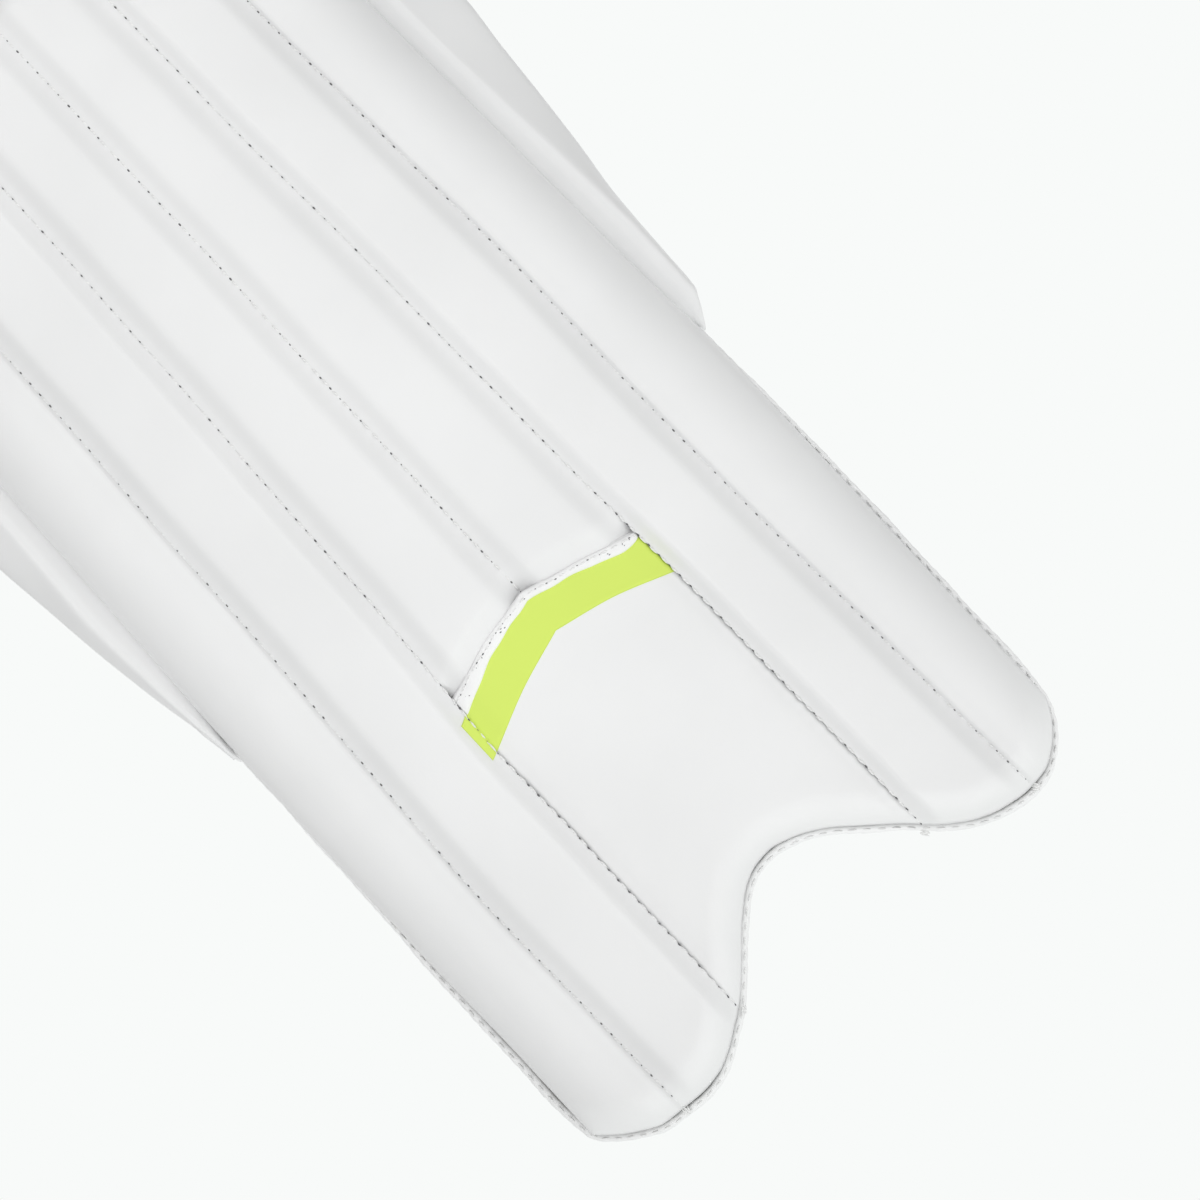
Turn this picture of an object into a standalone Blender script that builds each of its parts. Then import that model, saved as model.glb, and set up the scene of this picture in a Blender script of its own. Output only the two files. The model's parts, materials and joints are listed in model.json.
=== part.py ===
"""Cricket batting leg pad for an adult, standing as it is worn.

Frame: metres, +Z up the leg, the striking face towards -Y, +X to the viewer's right of the face.
The origin lies on the axis of the leg, level with the tips of the two lobes that cover the boot.

Lengths below are in millimetres and are turned into metres where vertices are written.
A point of the pad is given as (x, n, z): x across, z up, and n the distance in front of the pad's
curved rear plane (n = 0 is the back of the foam backing, n < 0 is the lining and the leg side).
"""

import bpy
import bmesh
import math
from mathutils import Matrix, Vector

MM = 0.001

# ---------------------------------------------------------------- driving dimensions, mm
REAR_Y = -62.0            # rear plane of the shin on the centre line
SHIN_TOP = 428.0          # top of the shin channels
ROLL_Z = ((432.4, 477.6), (481.4, 526.6), (530.4, 575.6))   # covers of the three knee rolls
HAT_BOTTOM = 580.0        # foot of the top hat
HAT_TOP = 785.0           # crest of the top hat
ROLL_HALF = 116.0         # half width of the knee rolls
ROLL_DEPTH = 37.0         # front of the knee rolls
HAT_HALF = 111.0          # half width of the top hat

N_BACKING = 10.0          # thickness of the foam backing
N_SEAM = 12.4             # level of the sewn lines between channels
N_CROWN = 21.0            # crown of a channel's foam
N_EDGE = 5.2              # level of the foam where the face rolls over to the edge
N_INSTEP = 16.2           # flat of the instep panel's foam
LINER_FRONT, LINER_N = -1.1, -2.2   # faces of the cloth lining behind the pad
SKIN_GAP = 0.45           # air between a foam and the skin over it
SKIN = 1.2                # thickness of the synthetic leather
BINDING_R = 1.6           # radius of the rolled edge binding
FACE_IN = 3.2             # the face starts this far inside the binding's outer edge

CANE_WIDTH = 19.0         # a bundle of three flattened canes
CANE_THICK = 4.0
FLEX_Y = -14.0            # the knee's fold lines lie behind the rolls

# Sewn lines and edges of the shin: (height, x) stations, left to right
LEFT_EDGE = [(0, -104.5), (50, -104.5), (100, -105.5), (200, -105), (240, -104), (300, -102.5), (430, -99)]
LEFT_OUTER = [(0, -76), (40, -77), (90, -78), (130, -77.3), (200, -74.7), (260, -73), (310, -71.5), (430, -69)]
LEFT_INNER = [(0, -40.5), (90, -40.5), (130, -41.5), (160, -40), (200, -38.5), (250, -37), (300, -35.5), (430, -33.8)]
CENTRE = [(0, 0), (430, 0)]
RIGHT_INNER = [(0, 45.5), (50, 44), (90, 43), (130, 42), (160, 40.8), (200, 39.3), (250, 38), (300, 36), (350, 34.3), (430, 33)]
RIGHT_OUTER = [(0, 80), (40, 78), (90, 76), (130, 74.5), (180, 72.8), (220, 72.3), (260, 71), (300, 69.2), (360, 67), (430, 65.5)]
RIGHT_EDGE = [(0, 103.5), (100, 103.5), (180, 103), (220, 101), (260, 99.5), (300, 98), (340, 96), (430, 95)]
SEAMS = (LEFT_EDGE, LEFT_OUTER, LEFT_INNER, CENTRE, RIGHT_INNER, RIGHT_OUTER, RIGHT_EDGE)

# The rear layers stand a little proud of the face beside the boot lobes
LEFT_REAR = [(0, -106), (25, -107.5), (90, -107.3), (130, -106.2), (200, -105.2), (300, -102.7), (430, -100)]
RIGHT_REAR = [(0, 104), (25, 105.3), (100, 105.3), (180, 103.4), (260, 100), (340, 96.6), (430, 95.6)]

# Lower outline of the pad: two boot lobes and the instep scallop between them, (x, z)
OUTLINE = [(-108, 27), (-106, 17), (-100, 10.5), (-92, 5), (-84, 1.4), (-77, 0.8), (-68, 0.4), (-60, 1.5), (-52, 5),
           (-46, 9), (-40, 13), (-30, 22.5), (-20, 33), (-10, 41), (-4, 43.3), (2, 43.9), (10, 42), (20, 37),
           (30, 29), (40, 20.5), (46, 14.5), (52, 9.5), (60, 4.5), (68, 1.7), (78, 0.3), (86, 1.2), (93, 5),
           (99, 11), (103, 18), (106, 28)]

# Upper edge of the instep panel, and the accent stripe sewn along it, (x, z)
INSTEP_TOP = [(-41, 155), (-30, 158.5), (-15, 161.5), (0, 163.2), (15, 160), (30, 156.8), (42, 153)]
STRIPE_TOP = [(-41, 146.5), (-30, 152.3), (-15, 158.2), (0, 161.6), (15, 158.2), (30, 154.2), (42, 149.5)]
STRIPE_FOOT = [(-41, 132), (-30, 137), (-15, 143), (0, 147.6), (15, 144.3), (30, 140.6), (42, 135)]

# Radius of the rear plane across the leg, by height
RADIUS = [(0, 190), (120, 170), (800, 170)]

# How far each wing stands out beyond the pad's edge, by height
RIGHT_WING_OUT = [(187, 1.5), (192, 4), (200, 8), (215, 10), (240, 11.5), (260, 14.5), (280, 17.5), (300, 19), (326, 22), (374, 22), (430, 22.5)]
LEFT_WING_OUT = [(191, 1.0), (200, 3.5), (210, 6.5), (230, 10.5), (250, 13), (270, 15), (285, 16.5), (326, 21), (374, 21), (430, 21.5)]
WING_TOP = 426.0


# ---------------------------------------------------------------- small mathematics
def through(knots, q):
    """A smooth curve through (q, value) stations, held level outside them."""
    if q <= knots[0][0]:
        return knots[0][1]
    if q >= knots[-1][0]:
        return knots[-1][1]
    i = max(k for k in range(len(knots) - 1) if knots[k][0] <= q)

    def slope(a, b):
        return (knots[b][1] - knots[a][1]) / (knots[b][0] - knots[a][0])

    def tangent(k):
        if k == 0:
            return slope(0, 1)
        if k == len(knots) - 1:
            return slope(k - 1, k)
        before, after = slope(k - 1, k), slope(k, k + 1)
        return 0.0 if before * after <= 0 else 2 * before * after / (before + after)

    (q0, v0), (q1, v1) = knots[i], knots[i + 1]
    h = q1 - q0
    t = (q - q0) / h
    a, b = tangent(i), tangent(i + 1)
    return (v0 * (1 + 2 * t) * (1 - t) ** 2 + a * h * t * (1 - t) ** 2
            + v1 * t * t * (3 - 2 * t) + b * h * t * t * (t - 1))


def step(q):
    q = min(1.0, max(0.0, q))
    return q * q * (3 - 2 * q)


def mix(a, b, t):
    return a + (b - a) * t


def arc(points, steps):
    """Points spaced evenly by length along a smooth line through the given plan points."""
    p = [Vector(points[0])] + [Vector(q) for q in points] + [Vector(points[-1])]
    p[0], p[-1] = 2 * p[1] - p[2], 2 * p[-2] - p[-3]
    fine = []
    for i in range(1, len(p) - 2):
        for j in range(12):
            t = j / 12
            fine.append(0.5 * (2 * p[i] + (p[i + 1] - p[i - 1]) * t
                               + (2 * p[i - 1] - 5 * p[i] + 4 * p[i + 1] - p[i + 2]) * t * t
                               + (3 * p[i] - p[i - 1] - 3 * p[i + 1] + p[i + 2]) * t ** 3))
    fine.append(p[-2])
    run = [0.0]
    for a, b in zip(fine, fine[1:]):
        run.append(run[-1] + (b - a).length)
    out, k = [], 0
    for j in range(steps + 1):
        want = run[-1] * j / steps
        while k < len(run) - 2 and run[k + 1] < want:
            k += 1
        out.append(fine[k].lerp(fine[k + 1], (want - run[k]) / max(run[k + 1] - run[k], 1e-9)))
    return out


# ---------------------------------------------------------------- the pad's curved space
def rear_y(z):
    """Rear plane on the centre line: straight up the shin, kicked forward over the boot."""
    kick = -14.0 * (1 - z / 130.0) ** 2 if z < 130 else 0.0
    return REAR_Y + kick


def at(x, n, z):
    """The pad's (x, n, z) as a point in metres."""
    r = through(RADIUS, z)
    reach = r + n
    return Vector((x, rear_y(z) + r - math.sqrt(max(reach * reach - x * x, 1.0)), z)) * MM


def outline(x):
    return through(OUTLINE, x)


def foot_of_face(x):
    return outline(x) + FACE_IN


def seam(k, z):
    return through(SEAMS[k], z)


def bump(f):
    """Section of a channel between two sewn lines: narrow flat landings, steep flanks and a broad crown."""
    q = min(1.0, abs(2 * f - 1) / 0.93)
    return (1 - q ** 3.0) ** 0.62


def channel_n(k, f):
    """Foam height across channel k of a six-channel face. The two end channels roll over to the edge."""
    outer = (k == 0 and f < 0.5) or (k == 5 and f > 0.5)
    if outer:
        q = abs(2 * f - 1)
        return mix(N_EDGE, N_CROWN, (1 - q ** 2.6) ** 0.6)
    return mix(N_SEAM, N_CROWN, bump(f))


def round_end(d, r=13.0):
    return 1.0 if d >= r else math.sqrt(max(0.0, 1 - (1 - max(d, 0.0) / r) ** 2))


def backing_n(x, z):
    """Front of the foam backing: full in the middle, feathered to the edge and the foot."""
    side = min(x - seam(0, z), seam(6, z) - x)
    return mix(2.6, N_BACKING, min(1.0, max(0.0, min(side - 2.5, z - foot_of_face(x) - 1.0) / 15.0)))


def over_backing(z, foot):
    """A level that clears the backing anywhere across the pad."""
    return mix(2.6, N_BACKING, min(1.0, max(0.0, (z + 4.0 - foot - 1.0) / 15.0))) + 0.8


def shin_n(k, f, x, z, foot):
    """Front of the foam on the shin at channel k, fraction f, where the channel's foot is at height foot."""
    ends = min(round_end(z - foot), round_end(SHIN_TOP + 4.0 - z, 10.0))
    low = max(N_EDGE, backing_n(x, z) + 2.4)
    return mix(low, max(channel_n(k, f), low), ends)


# ---------------------------------------------------------------- making objects
for old in list(bpy.data.objects):
    bpy.data.objects.remove(old, do_unlink=True)

pad = bpy.data.collections.new("cricket_leg_pad")
bpy.context.scene.collection.children.link(pad)


def material(name, colour, roughness, metallic=0.0):
    made = bpy.data.materials.new(name)
    made.use_nodes = True
    shader = made.node_tree.nodes["Principled BSDF"]
    shader.inputs["Base Color"].default_value = (*colour, 1.0)
    shader.inputs["Roughness"].default_value = roughness
    shader.inputs["Metallic"].default_value = metallic
    made.diffuse_color = (*colour, 1.0)
    return made


WHITE_PU = material("white_pu", (0.86, 0.86, 0.86), 0.45)
LIME_PU = material("lime_pu", (0.68, 0.84, 0.15), 0.45)
LINING = material("lining", (0.62, 0.63, 0.65), 0.9)
FOAM = material("foam", (0.75, 0.74, 0.70), 0.95)
CANE = material("cane", (0.72, 0.55, 0.30), 0.6)
WEBBING = material("webbing", (0.84, 0.84, 0.84), 0.8)
HOOK = material("hook_and_loop", (0.10, 0.11, 0.13), 0.95)
BINDING = material("binding", (0.88, 0.88, 0.88), 0.5)


def group(name):
    """An empty at the origin that gathers the pieces of one moving section."""
    made = bpy.data.objects.new(name, None)
    pad.objects.link(made)
    return made


def pivot(name, x, y, z):
    """An empty on a fold line, so that what hangs on it turns about that line."""
    made = group(name)
    made.location = Vector((x, y, z)) * MM
    return made


def finish(name, bm, mat, parent):
    mesh = bpy.data.meshes.new(name)
    if bm.calc_volume(signed=True) < 0:             # the placing mirrored it
        bmesh.ops.reverse_faces(bm, faces=bm.faces)
    bm.to_mesh(mesh)
    bm.free()
    mesh.materials.append(mat)
    made = bpy.data.objects.new(name, mesh)
    pad.objects.link(made)
    mesh.shade_smooth()
    mesh.set_sharp_from_angle(angle=math.radians(40))
    made.parent = parent
    if parent is not None:
        mesh.transform(to_local(parent))
    return made


def to_local(parent):
    """Points are worked out in the pad's frame and then moved into the frame of the section they hang on."""
    return Matrix.Translation(-Vector(parent.location))


def sheet(name, columns, rows, place, thick, mat, parent, even=True):
    """A skin: a plane of len(columns) by len(rows) points laid on the pad, thickened on its outer side."""
    bm = bmesh.new()
    nc, nr = len(columns) - 1, len(rows) - 1
    bmesh.ops.create_grid(bm, x_segments=nc, y_segments=nr, size=0.5)
    for v in bm.verts:
        c, r = columns[round((v.co.x + 0.5) * nc)], rows[round((v.co.y + 0.5) * nr)]
        v.co = place(c, r)
    mesh = bpy.data.meshes.new(name)
    bm.to_mesh(mesh)
    bm.free()
    mesh.materials.append(mat)
    made = bpy.data.objects.new(name, mesh)
    pad.objects.link(made)
    mesh.shade_smooth()
    made.parent = parent
    if parent is not None:
        mesh.transform(to_local(parent))
    solid = made.modifiers.new("thickness", "SOLIDIFY")
    solid.thickness = thick * MM
    solid.offset = 1.0
    solid.use_even_offset = even
    solid.use_rim = True
    return made


def block(name, columns, rows, place, mat, parent):
    """A slab: a cube cut into columns and rows, then laid on the pad. place(column, row, front) gives each corner."""
    bm = bmesh.new()
    bmesh.ops.create_cube(bm, size=1.0)
    nc, nr = len(columns) - 1, len(rows) - 1
    for count, normal in ((nc, (1, 0, 0)), (nr, (0, 0, 1))):
        for i in range(1, count):
            bmesh.ops.bisect_plane(bm, geom=bm.verts[:] + bm.edges[:] + bm.faces[:], dist=1e-6,
                                   plane_co=Vector(normal) * (i / count - 0.5), plane_no=normal)
    for v in bm.verts:
        c, r = columns[round((v.co.x + 0.5) * nc)], rows[round((v.co.z + 0.5) * nr)]
        v.co = place(c, r, v.co.y < 0)
    return finish(name, bm, mat, parent)


def loft(name, sides, stations, place, mat, parent):
    """A bar: a cylinder of that many sides cut at each station, whose corners go to place(side, station)."""
    bm = bmesh.new()
    bmesh.ops.create_cone(bm, cap_ends=True, segments=sides, radius1=1.0, radius2=1.0, depth=1.0)
    ns = len(stations) - 1
    for i in range(1, ns):
        bmesh.ops.bisect_plane(bm, geom=bm.verts[:] + bm.edges[:] + bm.faces[:], dist=1e-6,
                               plane_co=(0, 0, i / ns - 0.5), plane_no=(0, 0, 1))
    start = min(math.atan2(v.co.y, v.co.x) % (2 * math.pi / sides) for v in bm.verts)
    for v in bm.verts:
        turn = (math.atan2(v.co.y, v.co.x) - start) / (2 * math.pi / sides)
        v.co = place(round(turn) % sides, stations[round((v.co.z + 0.5) * ns)])
    return finish(name, bm, mat, parent)


def tube(name, points, radius, mat, parent):
    """A round piping along points in metres."""
    data = bpy.data.curves.new(name, "CURVE")
    data.dimensions = "3D"
    data.bevel_depth = radius * MM
    data.bevel_resolution = 1
    data.use_fill_caps = True
    line = data.splines.new("POLY")
    line.points.add(len(points) - 1)
    for p, q in zip(line.points, points):
        p.co = (*q, 1.0)
    data.materials.append(mat)
    made = bpy.data.objects.new(name, data)
    pad.objects.link(made)
    made.parent = parent
    made.location = -Vector(parent.location) if parent is not None else (0, 0, 0)
    return made


# ---------------------------------------------------------------- sections that move
shin = group("shin_section")
knee_axes = [(0.0, FLEX_Y, (SHIN_TOP + ROLL_Z[0][0]) / 2 + 0.6),
             (0.0, FLEX_Y, (ROLL_Z[0][1] + ROLL_Z[1][0]) / 2),
             (0.0, FLEX_Y, (ROLL_Z[1][1] + ROLL_Z[2][0]) / 2),
             (0.0, FLEX_Y, (ROLL_Z[2][1] + HAT_BOTTOM) / 2)]
sections = [pivot(n, *a) for n, a in zip(("lower_roll_section", "middle_roll_section", "upper_roll_section", "top_hat_section"), knee_axes)]
lower_roll, middle_roll, upper_roll, top_hat = sections


# ---------------------------------------------------------------- shin channels
# A row is either ("foot", d), d above the channel's foot, or a plain height.
LONG_ROWS = [("foot", 0), ("foot", 3), ("foot", 16), 62, 115, 180, 240, 300, 360, 418, SHIN_TOP]
SHORT_ROWS = [("foot", 0), ("foot", 3), ("foot", 16), 200, 250, 300, 360, 418, SHIN_TOP]
FOAM_F = [0.06, 0.2, 0.5, 0.8, 0.94]


def foot_of_channel(k, x):
    return through(INSTEP_TOP, x) + 2.6 if k in (2, 3) else foot_of_face(x)


def on_channel(k, f, row):
    """(x, z, foot) of fraction f of channel k at a row."""
    x = mix(seam(k, 30.0), seam(k + 1, 30.0), f) if k not in (2, 3) else mix(seam(k, 165.0), seam(k + 1, 165.0), f)
    foot = foot_of_channel(k, x)
    z = foot + row[1] if isinstance(row, tuple) else float(row)
    x = mix(seam(k, z), seam(k + 1, z), f)
    return x, z, foot


def rows_of(k):
    return SHORT_ROWS if k in (2, 3) else LONG_ROWS


def cane_centre(k, z):
    return mix(seam(k, z), seam(k + 1, z), {0: 0.56, 5: 0.44}.get(k, 0.5))


def cane_half(k):
    return (CANE_WIDTH - (3.0 if k in (0, 5) else 0.0)) / 2


def inset_row(z, row):
    """A foam's end rows are drawn in from the skin's."""
    return z + 2.0 if row == ("foot", 3) else z - 3.5 if row == SHIN_TOP else z


def foam_bar(k, name):
    """One channel's foam, grooved behind for its cane. Its section runs counter-clockwise from above."""
    def place(i, row):
        if i < 6:                                   # rear, right to left, with the groove in the middle
            f = {0: mix(0.5, FOAM_F[-1], 0.965), 5: mix(0.5, FOAM_F[0], 0.965)}.get(i)
            x, z, foot = on_channel(k, 0.5 if f is None else f, row)
            if k in (2, 3):
                foot = foot_of_face(x)
            level, deep = over_backing(z, foot), 0.0
            if f is None:
                half = cane_half(k) + 0.6
                x = cane_centre(k, z) + (half if i < 3 else -half)
                if isinstance(row, tuple):
                    foot = foot_of_channel(k, x)
                    z = foot + row[1]
                    level = over_backing(z, foot_of_face(x))
                if i in (2, 3):
                    deep = step((z - foot_of_channel(k, x) - 16.0) / 8.0)
            elif k in (0, 5):
                level = backing_n(x, z + 3.0) + 0.7
            return at(x, mix(level, N_BACKING + CANE_THICK + 1.6, deep), inset_row(z, row))
        f = FOAM_F[i - 6]
        x, z, foot = on_channel(k, f, row)
        inside = on_channel(k, mix(0.5, f, 0.965), row)[0]
        under = {("foot", 3): 2.6, ("foot", 16): 1.5}.get(row, 0.7) if k not in (2, 3) else 0.7
        return at(inside, shin_n(k, f, x, z, foot) - under, inset_row(z, row))
    return loft(name, 6 + len(FOAM_F), rows_of(k)[1:], place, FOAM, shin)


def cane(k, name):
    """Three flattened canes side by side, bound into one flat bundle."""
    low = 203.0 if k in (2, 3) else 66.0
    stations = [low, low + 40, 150.0 if low < 100 else 270.0, 250.0 if low < 100 else 330.0, 340.0 if low < 100 else 380.0, SHIN_TOP - 5]
    half = cane_half(k)

    def place(i, z):
        rod, part = divmod(i % 6, 2)                # two corners for each rod, and a nip between rods
        across = (rod + (0.22, 0.78)[part]) / 3.0
        front = i >= 6
        x = cane_centre(k, z) + (mix(-half, half, across) if front else mix(half, -half, across))
        nip = 0.35 if (rod, part) in ((0, 0), (2, 1)) else 0.0
        base = N_BACKING + 1.0
        return at(x, base + (CANE_THICK - nip if front else nip), z)
    return loft(name, 12, stations, place, CANE, shin)


SIDE = ("outer_left", "inner_left", "centre_left", "centre_right", "inner_right", "outer_right")
for k, side in enumerate(SIDE):
    foam_bar(k, "shin_foam_" + side)
    cane(k, "cane_bundle_" + side)


def skin_columns(first, last):
    """Fractions across neighbouring channels, meeting on each sewn line."""
    columns = []
    for k in range(first, last + 1):
        columns += [(k, f) for f in [0.0] + FOAM_F]
    return columns + [(last, 1.0)]


def shin_cover(name, first, last):
    columns = skin_columns(first, last)

    def place(c, row):
        k, f = c
        x, z, foot = on_channel(k, f, row)
        if c == columns[0] and first > 0:
            x += 1.6
        if c == columns[-1] and last < 5:
            x -= 1.6
        return at(x, shin_n(k, f, x, z, foot) + SKIN_GAP, z)
    return sheet(name, columns, rows_of(first), place, SKIN, WHITE_PU, shin)


shin_cover("shin_cover_left", 0, 1)
shin_cover("shin_cover_centre", 2, 3)
shin_cover("shin_cover_right", 4, 5)

# ---------------------------------------------------------------- instep panel
INSTEP_S = [0.0, 0.05, 0.15, 0.32, 0.5, 0.68, 0.85, 0.95, 1.0]
INSTEP_ROWS = [0, 1, 2, 3, 4, 5, 6, 7]


def on_instep(s, row, side_gap):
    """Rows 0 to 4 climb from the scallop to the stripe's foot, 5 is the stripe's top and 6 and 7 the panel's sewn edge."""
    x = mix(-40.5, 44.0, s)
    low, high = foot_of_face(x), through(STRIPE_FOOT, x)
    edge = through(INSTEP_TOP, x)
    z = {0: low, 1: low + 4, 2: low + 16, 3: mix(low + 16, high, 0.5), 4: high,
         5: through(STRIPE_TOP, x), 6: edge - 1.0, 7: edge}[row]
    left, right = seam(2, z) + side_gap, seam(4, z) - side_gap
    return mix(left, right, s), z


def instep_n(s, x, z):
    """Nearly flat, dropping to its sewn edges."""
    low = max(N_EDGE, backing_n(x, z) + 2.0)
    q = min(step(min(s, 1 - s) / 0.1), step((through(INSTEP_TOP, x) - z) / 5.0), round_end(z - foot_of_face(x), 11.0))
    return mix(low, N_INSTEP + 0.8 * (1 - (2 * s - 1) ** 2), q)


def instep_foam_place(s, row, front):
    x, z = on_instep(s, row, 2.2)
    return at(x, instep_n(s, x, z) - 1.0 if front else over_backing(z, foot_of_face(x)), z)


block("instep_foam", INSTEP_S[1:-1], INSTEP_ROWS[1:-2], instep_foam_place, FOAM, shin)


def instep_cover_place(s, row):
    x, z = on_instep(s, row, 1.3)
    inner_x = on_instep(s, row, 2.2)[0]
    return at(x, instep_n(s, inner_x, z) + SKIN_GAP, z)


sheet("instep_cover", INSTEP_S, INSTEP_ROWS, instep_cover_place, SKIN, WHITE_PU, shin)


def stripe_place(s, row, front):
    x, z = on_instep(s, row, 0.8)
    inner_x = on_instep(s, row, 2.2)[0]
    return at(x, instep_n(s, inner_x, z) + SKIN_GAP + SKIN + (1.1 if front else 0.45), z)


block("instep_stripe", INSTEP_S[1:-1], [4, 5], stripe_place, LIME_PU, shin)

# ---------------------------------------------------------------- rear of the shin
BACK_S = [-1.0, -0.93, -0.86, -0.68, -0.48, -0.24, 0.0, 0.24, 0.48, 0.68, 0.86, 0.93, 1.0]
BACK_ROWS = [("foot", 3.8), ("foot", 8), ("foot", 16), 80, 140, 220, 320, SHIN_TOP]
LINER_S = [-1.0, -0.86, -0.7, -0.52, -0.34, -0.17, 0.0, 0.17, 0.34, 0.52, 0.7, 0.86, 1.0]
LINER_ROWS = [("foot", 4.2), 40, 90, 150, 250, 350, SHIN_TOP]


def on_back(s, row, left, right, inset):
    """A rear layer spans from left(z) to right(z), short of each by inset."""
    low = 30.0
    x = mix(through(left, low) + inset, through(right, low) - inset, (s + 1) / 2)
    z = foot_of_face(x) + row[1] if isinstance(row, tuple) else max(float(row), foot_of_face(x) + 2.0 + row * 0.01)
    return mix(through(left, z) + inset, through(right, z) - inset, (s + 1) / 2), z


def backing_place(s, row, front):
    x, z = on_back(s, row, LEFT_EDGE, RIGHT_EDGE, 3.0)
    return at(x, backing_n(x, z) if front else 0.0, z)


block("shin_backing", BACK_S, BACK_ROWS, backing_place, FOAM, shin)


def liner_place(s, row, front):
    x, z = on_back(s, row, LEFT_REAR, RIGHT_REAR, 2.4)
    return at(x, LINER_FRONT if front else LINER_N, z)


block("shin_liner", LINER_S, LINER_ROWS, liner_place, LINING, shin)


def binding_points():
    """Up the left edge's foot, across the lobes and the scallop, and up the right edge."""
    points = []
    for z in (424, 370, 310, 250, 200, 150, 100, 60, 36):
        points.append(at(through(LEFT_REAR, z) - 0.2, 1.1, z))
    across = [-105.2, -103.5, -100, -95, -89, -82, -75, -66, -58, -51, -44, -37, -30, -23, -16, -9, -3, 3,
              10, 17, 24, 31, 38, 45, 51, 58, 66, 75, 83, 89, 94, 98, 101, 103]
    for x in across:
        z = outline(x) + BINDING_R
        points.append(at(x, 1.1, z))
    for z in (36, 60, 100, 150, 200, 250, 310, 370, 424):
        points.append(at(through(RIGHT_REAR, z) + 0.2, 1.1, z))
    return points


tube("lower_binding", binding_points(), BINDING_R, BINDING, shin)


def cushion(name, x0, x1, z0, z1, n_back, n_crown, parent, mat, upright=True, bend=None):
    """A stuffed roll on the leg side: flat against the lining, rounded towards the leg."""
    sides = 10

    def place(i, t):
        angle = 2 * math.pi * (i + 0.5) / sides
        u, w = math.cos(angle), math.sin(angle)
        u, w = [math.copysign(abs(q) ** 0.75, q) for q in (u, w)]
        ends = max(0.22, math.sqrt(max(0.0, 1 - abs(2 * t - 1) ** 6)))
        thick = (n_back - n_crown) * (0.5 + 0.5 * ends)
        n = n_back - thick * (0.5 + 0.5 * w)
        if upright:
            x, z = mix(x0, x1, 0.5 + 0.5 * u * ends), mix(z0, z1, t)
        else:
            x, z = mix(x0, x1, t), mix(z0, z1, 0.5 + 0.5 * u * ends)
        if bend:
            x += bend(z)
        return at(x, n, z)
    return loft(name, sides, [0.0, 0.03, 0.12, 0.3, 0.5, 0.7, 0.88, 0.97, 1.0], place, mat, parent)


cushion("inner_bolster_left", -52, -18, 58, 384, -2.9, -19, shin, LINING)
cushion("inner_bolster_right", 18, 52, 58, 384, -2.9, -19, shin, LINING)
cushion("lower_knee_locator", -64, 64, 392, 423, -2.9, -17, shin, LINING, upright=False)


# ---------------------------------------------------------------- wings
# The wing's section is drawn beside the pad's edge: d outwards, e rearwards.
WING_OUTER = [(1.6, 1.5), (3.5, -3.5), (7.5, -5.5), (11.0, -1.5), (1.0, 9.0), (1.0, 22.0), (1.0, 35.0), (0.97, 48.0), (0.72, 61.0), (0.22, 72.0)]


def wing_section(side, z):
    """Outer and inner lines of the wing at height z, as plan points in mm."""
    edge = through(LEFT_REAR if side < 0 else RIGHT_REAR, z) * side
    base = at(side * edge, 0.0, z) / MM
    out = through(RIGHT_WING_OUT if side > 0 else LEFT_WING_OUT, z)
    ridge = min(1.0, out / (10.0 if side > 0 else 13.0))
    long = through([(186, 0.12), (195, 0.38), (210, 0.6), (240, 0.82), (290, 1.0), (395, 1.0), (414, 0.93), (WING_TOP, 0.74)], z)
    outer, inner = [], []
    for i, (d, e) in enumerate(WING_OUTER):
        if i < 4:
            d, e = d * mix(0.35, 1.0, ridge), e * mix(0.5, 1.0, ridge)
        else:
            d = max(out, 2.0) * d
            e = mix(e * long, e, 0.0)
        outer.append((d + 1.8, e + 3.2))
    thick = 9.0 * mix(0.45, 1.0, ridge)
    for i, (d, e) in enumerate(outer):
        a, b = outer[max(i - 1, 0)], outer[min(i + 1, len(outer) - 1)]
        tx, ty = b[0] - a[0], b[1] - a[1]
        size = math.hypot(tx, ty) or 1.0
        t = thick * {0: 0.35, 1: 0.7, 8: 0.85, 9: 0.45}.get(i, 1.0)
        inner.append((d - ty / size * t, e + tx / size * t))
    for i in (0, 1, 2, 3):                          # behind the ridge the lining runs straight to the fold
        inner[i] = (mix(outer[0][0], inner[4][0], i / 4.0), mix(outer[0][1] + 2.5, inner[4][1], i / 4.0))

    def plan(p):
        return (base.x + side * p[0], base.y + p[1])
    return [plan(p) for p in outer], [plan(p) for p in inner]


WING_ROWS = [192.0, 197.0, 207.0, 225.0, 255.0, 290.0, 328.0, 372.0, 402.0, 418.0, WING_TOP]


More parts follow.
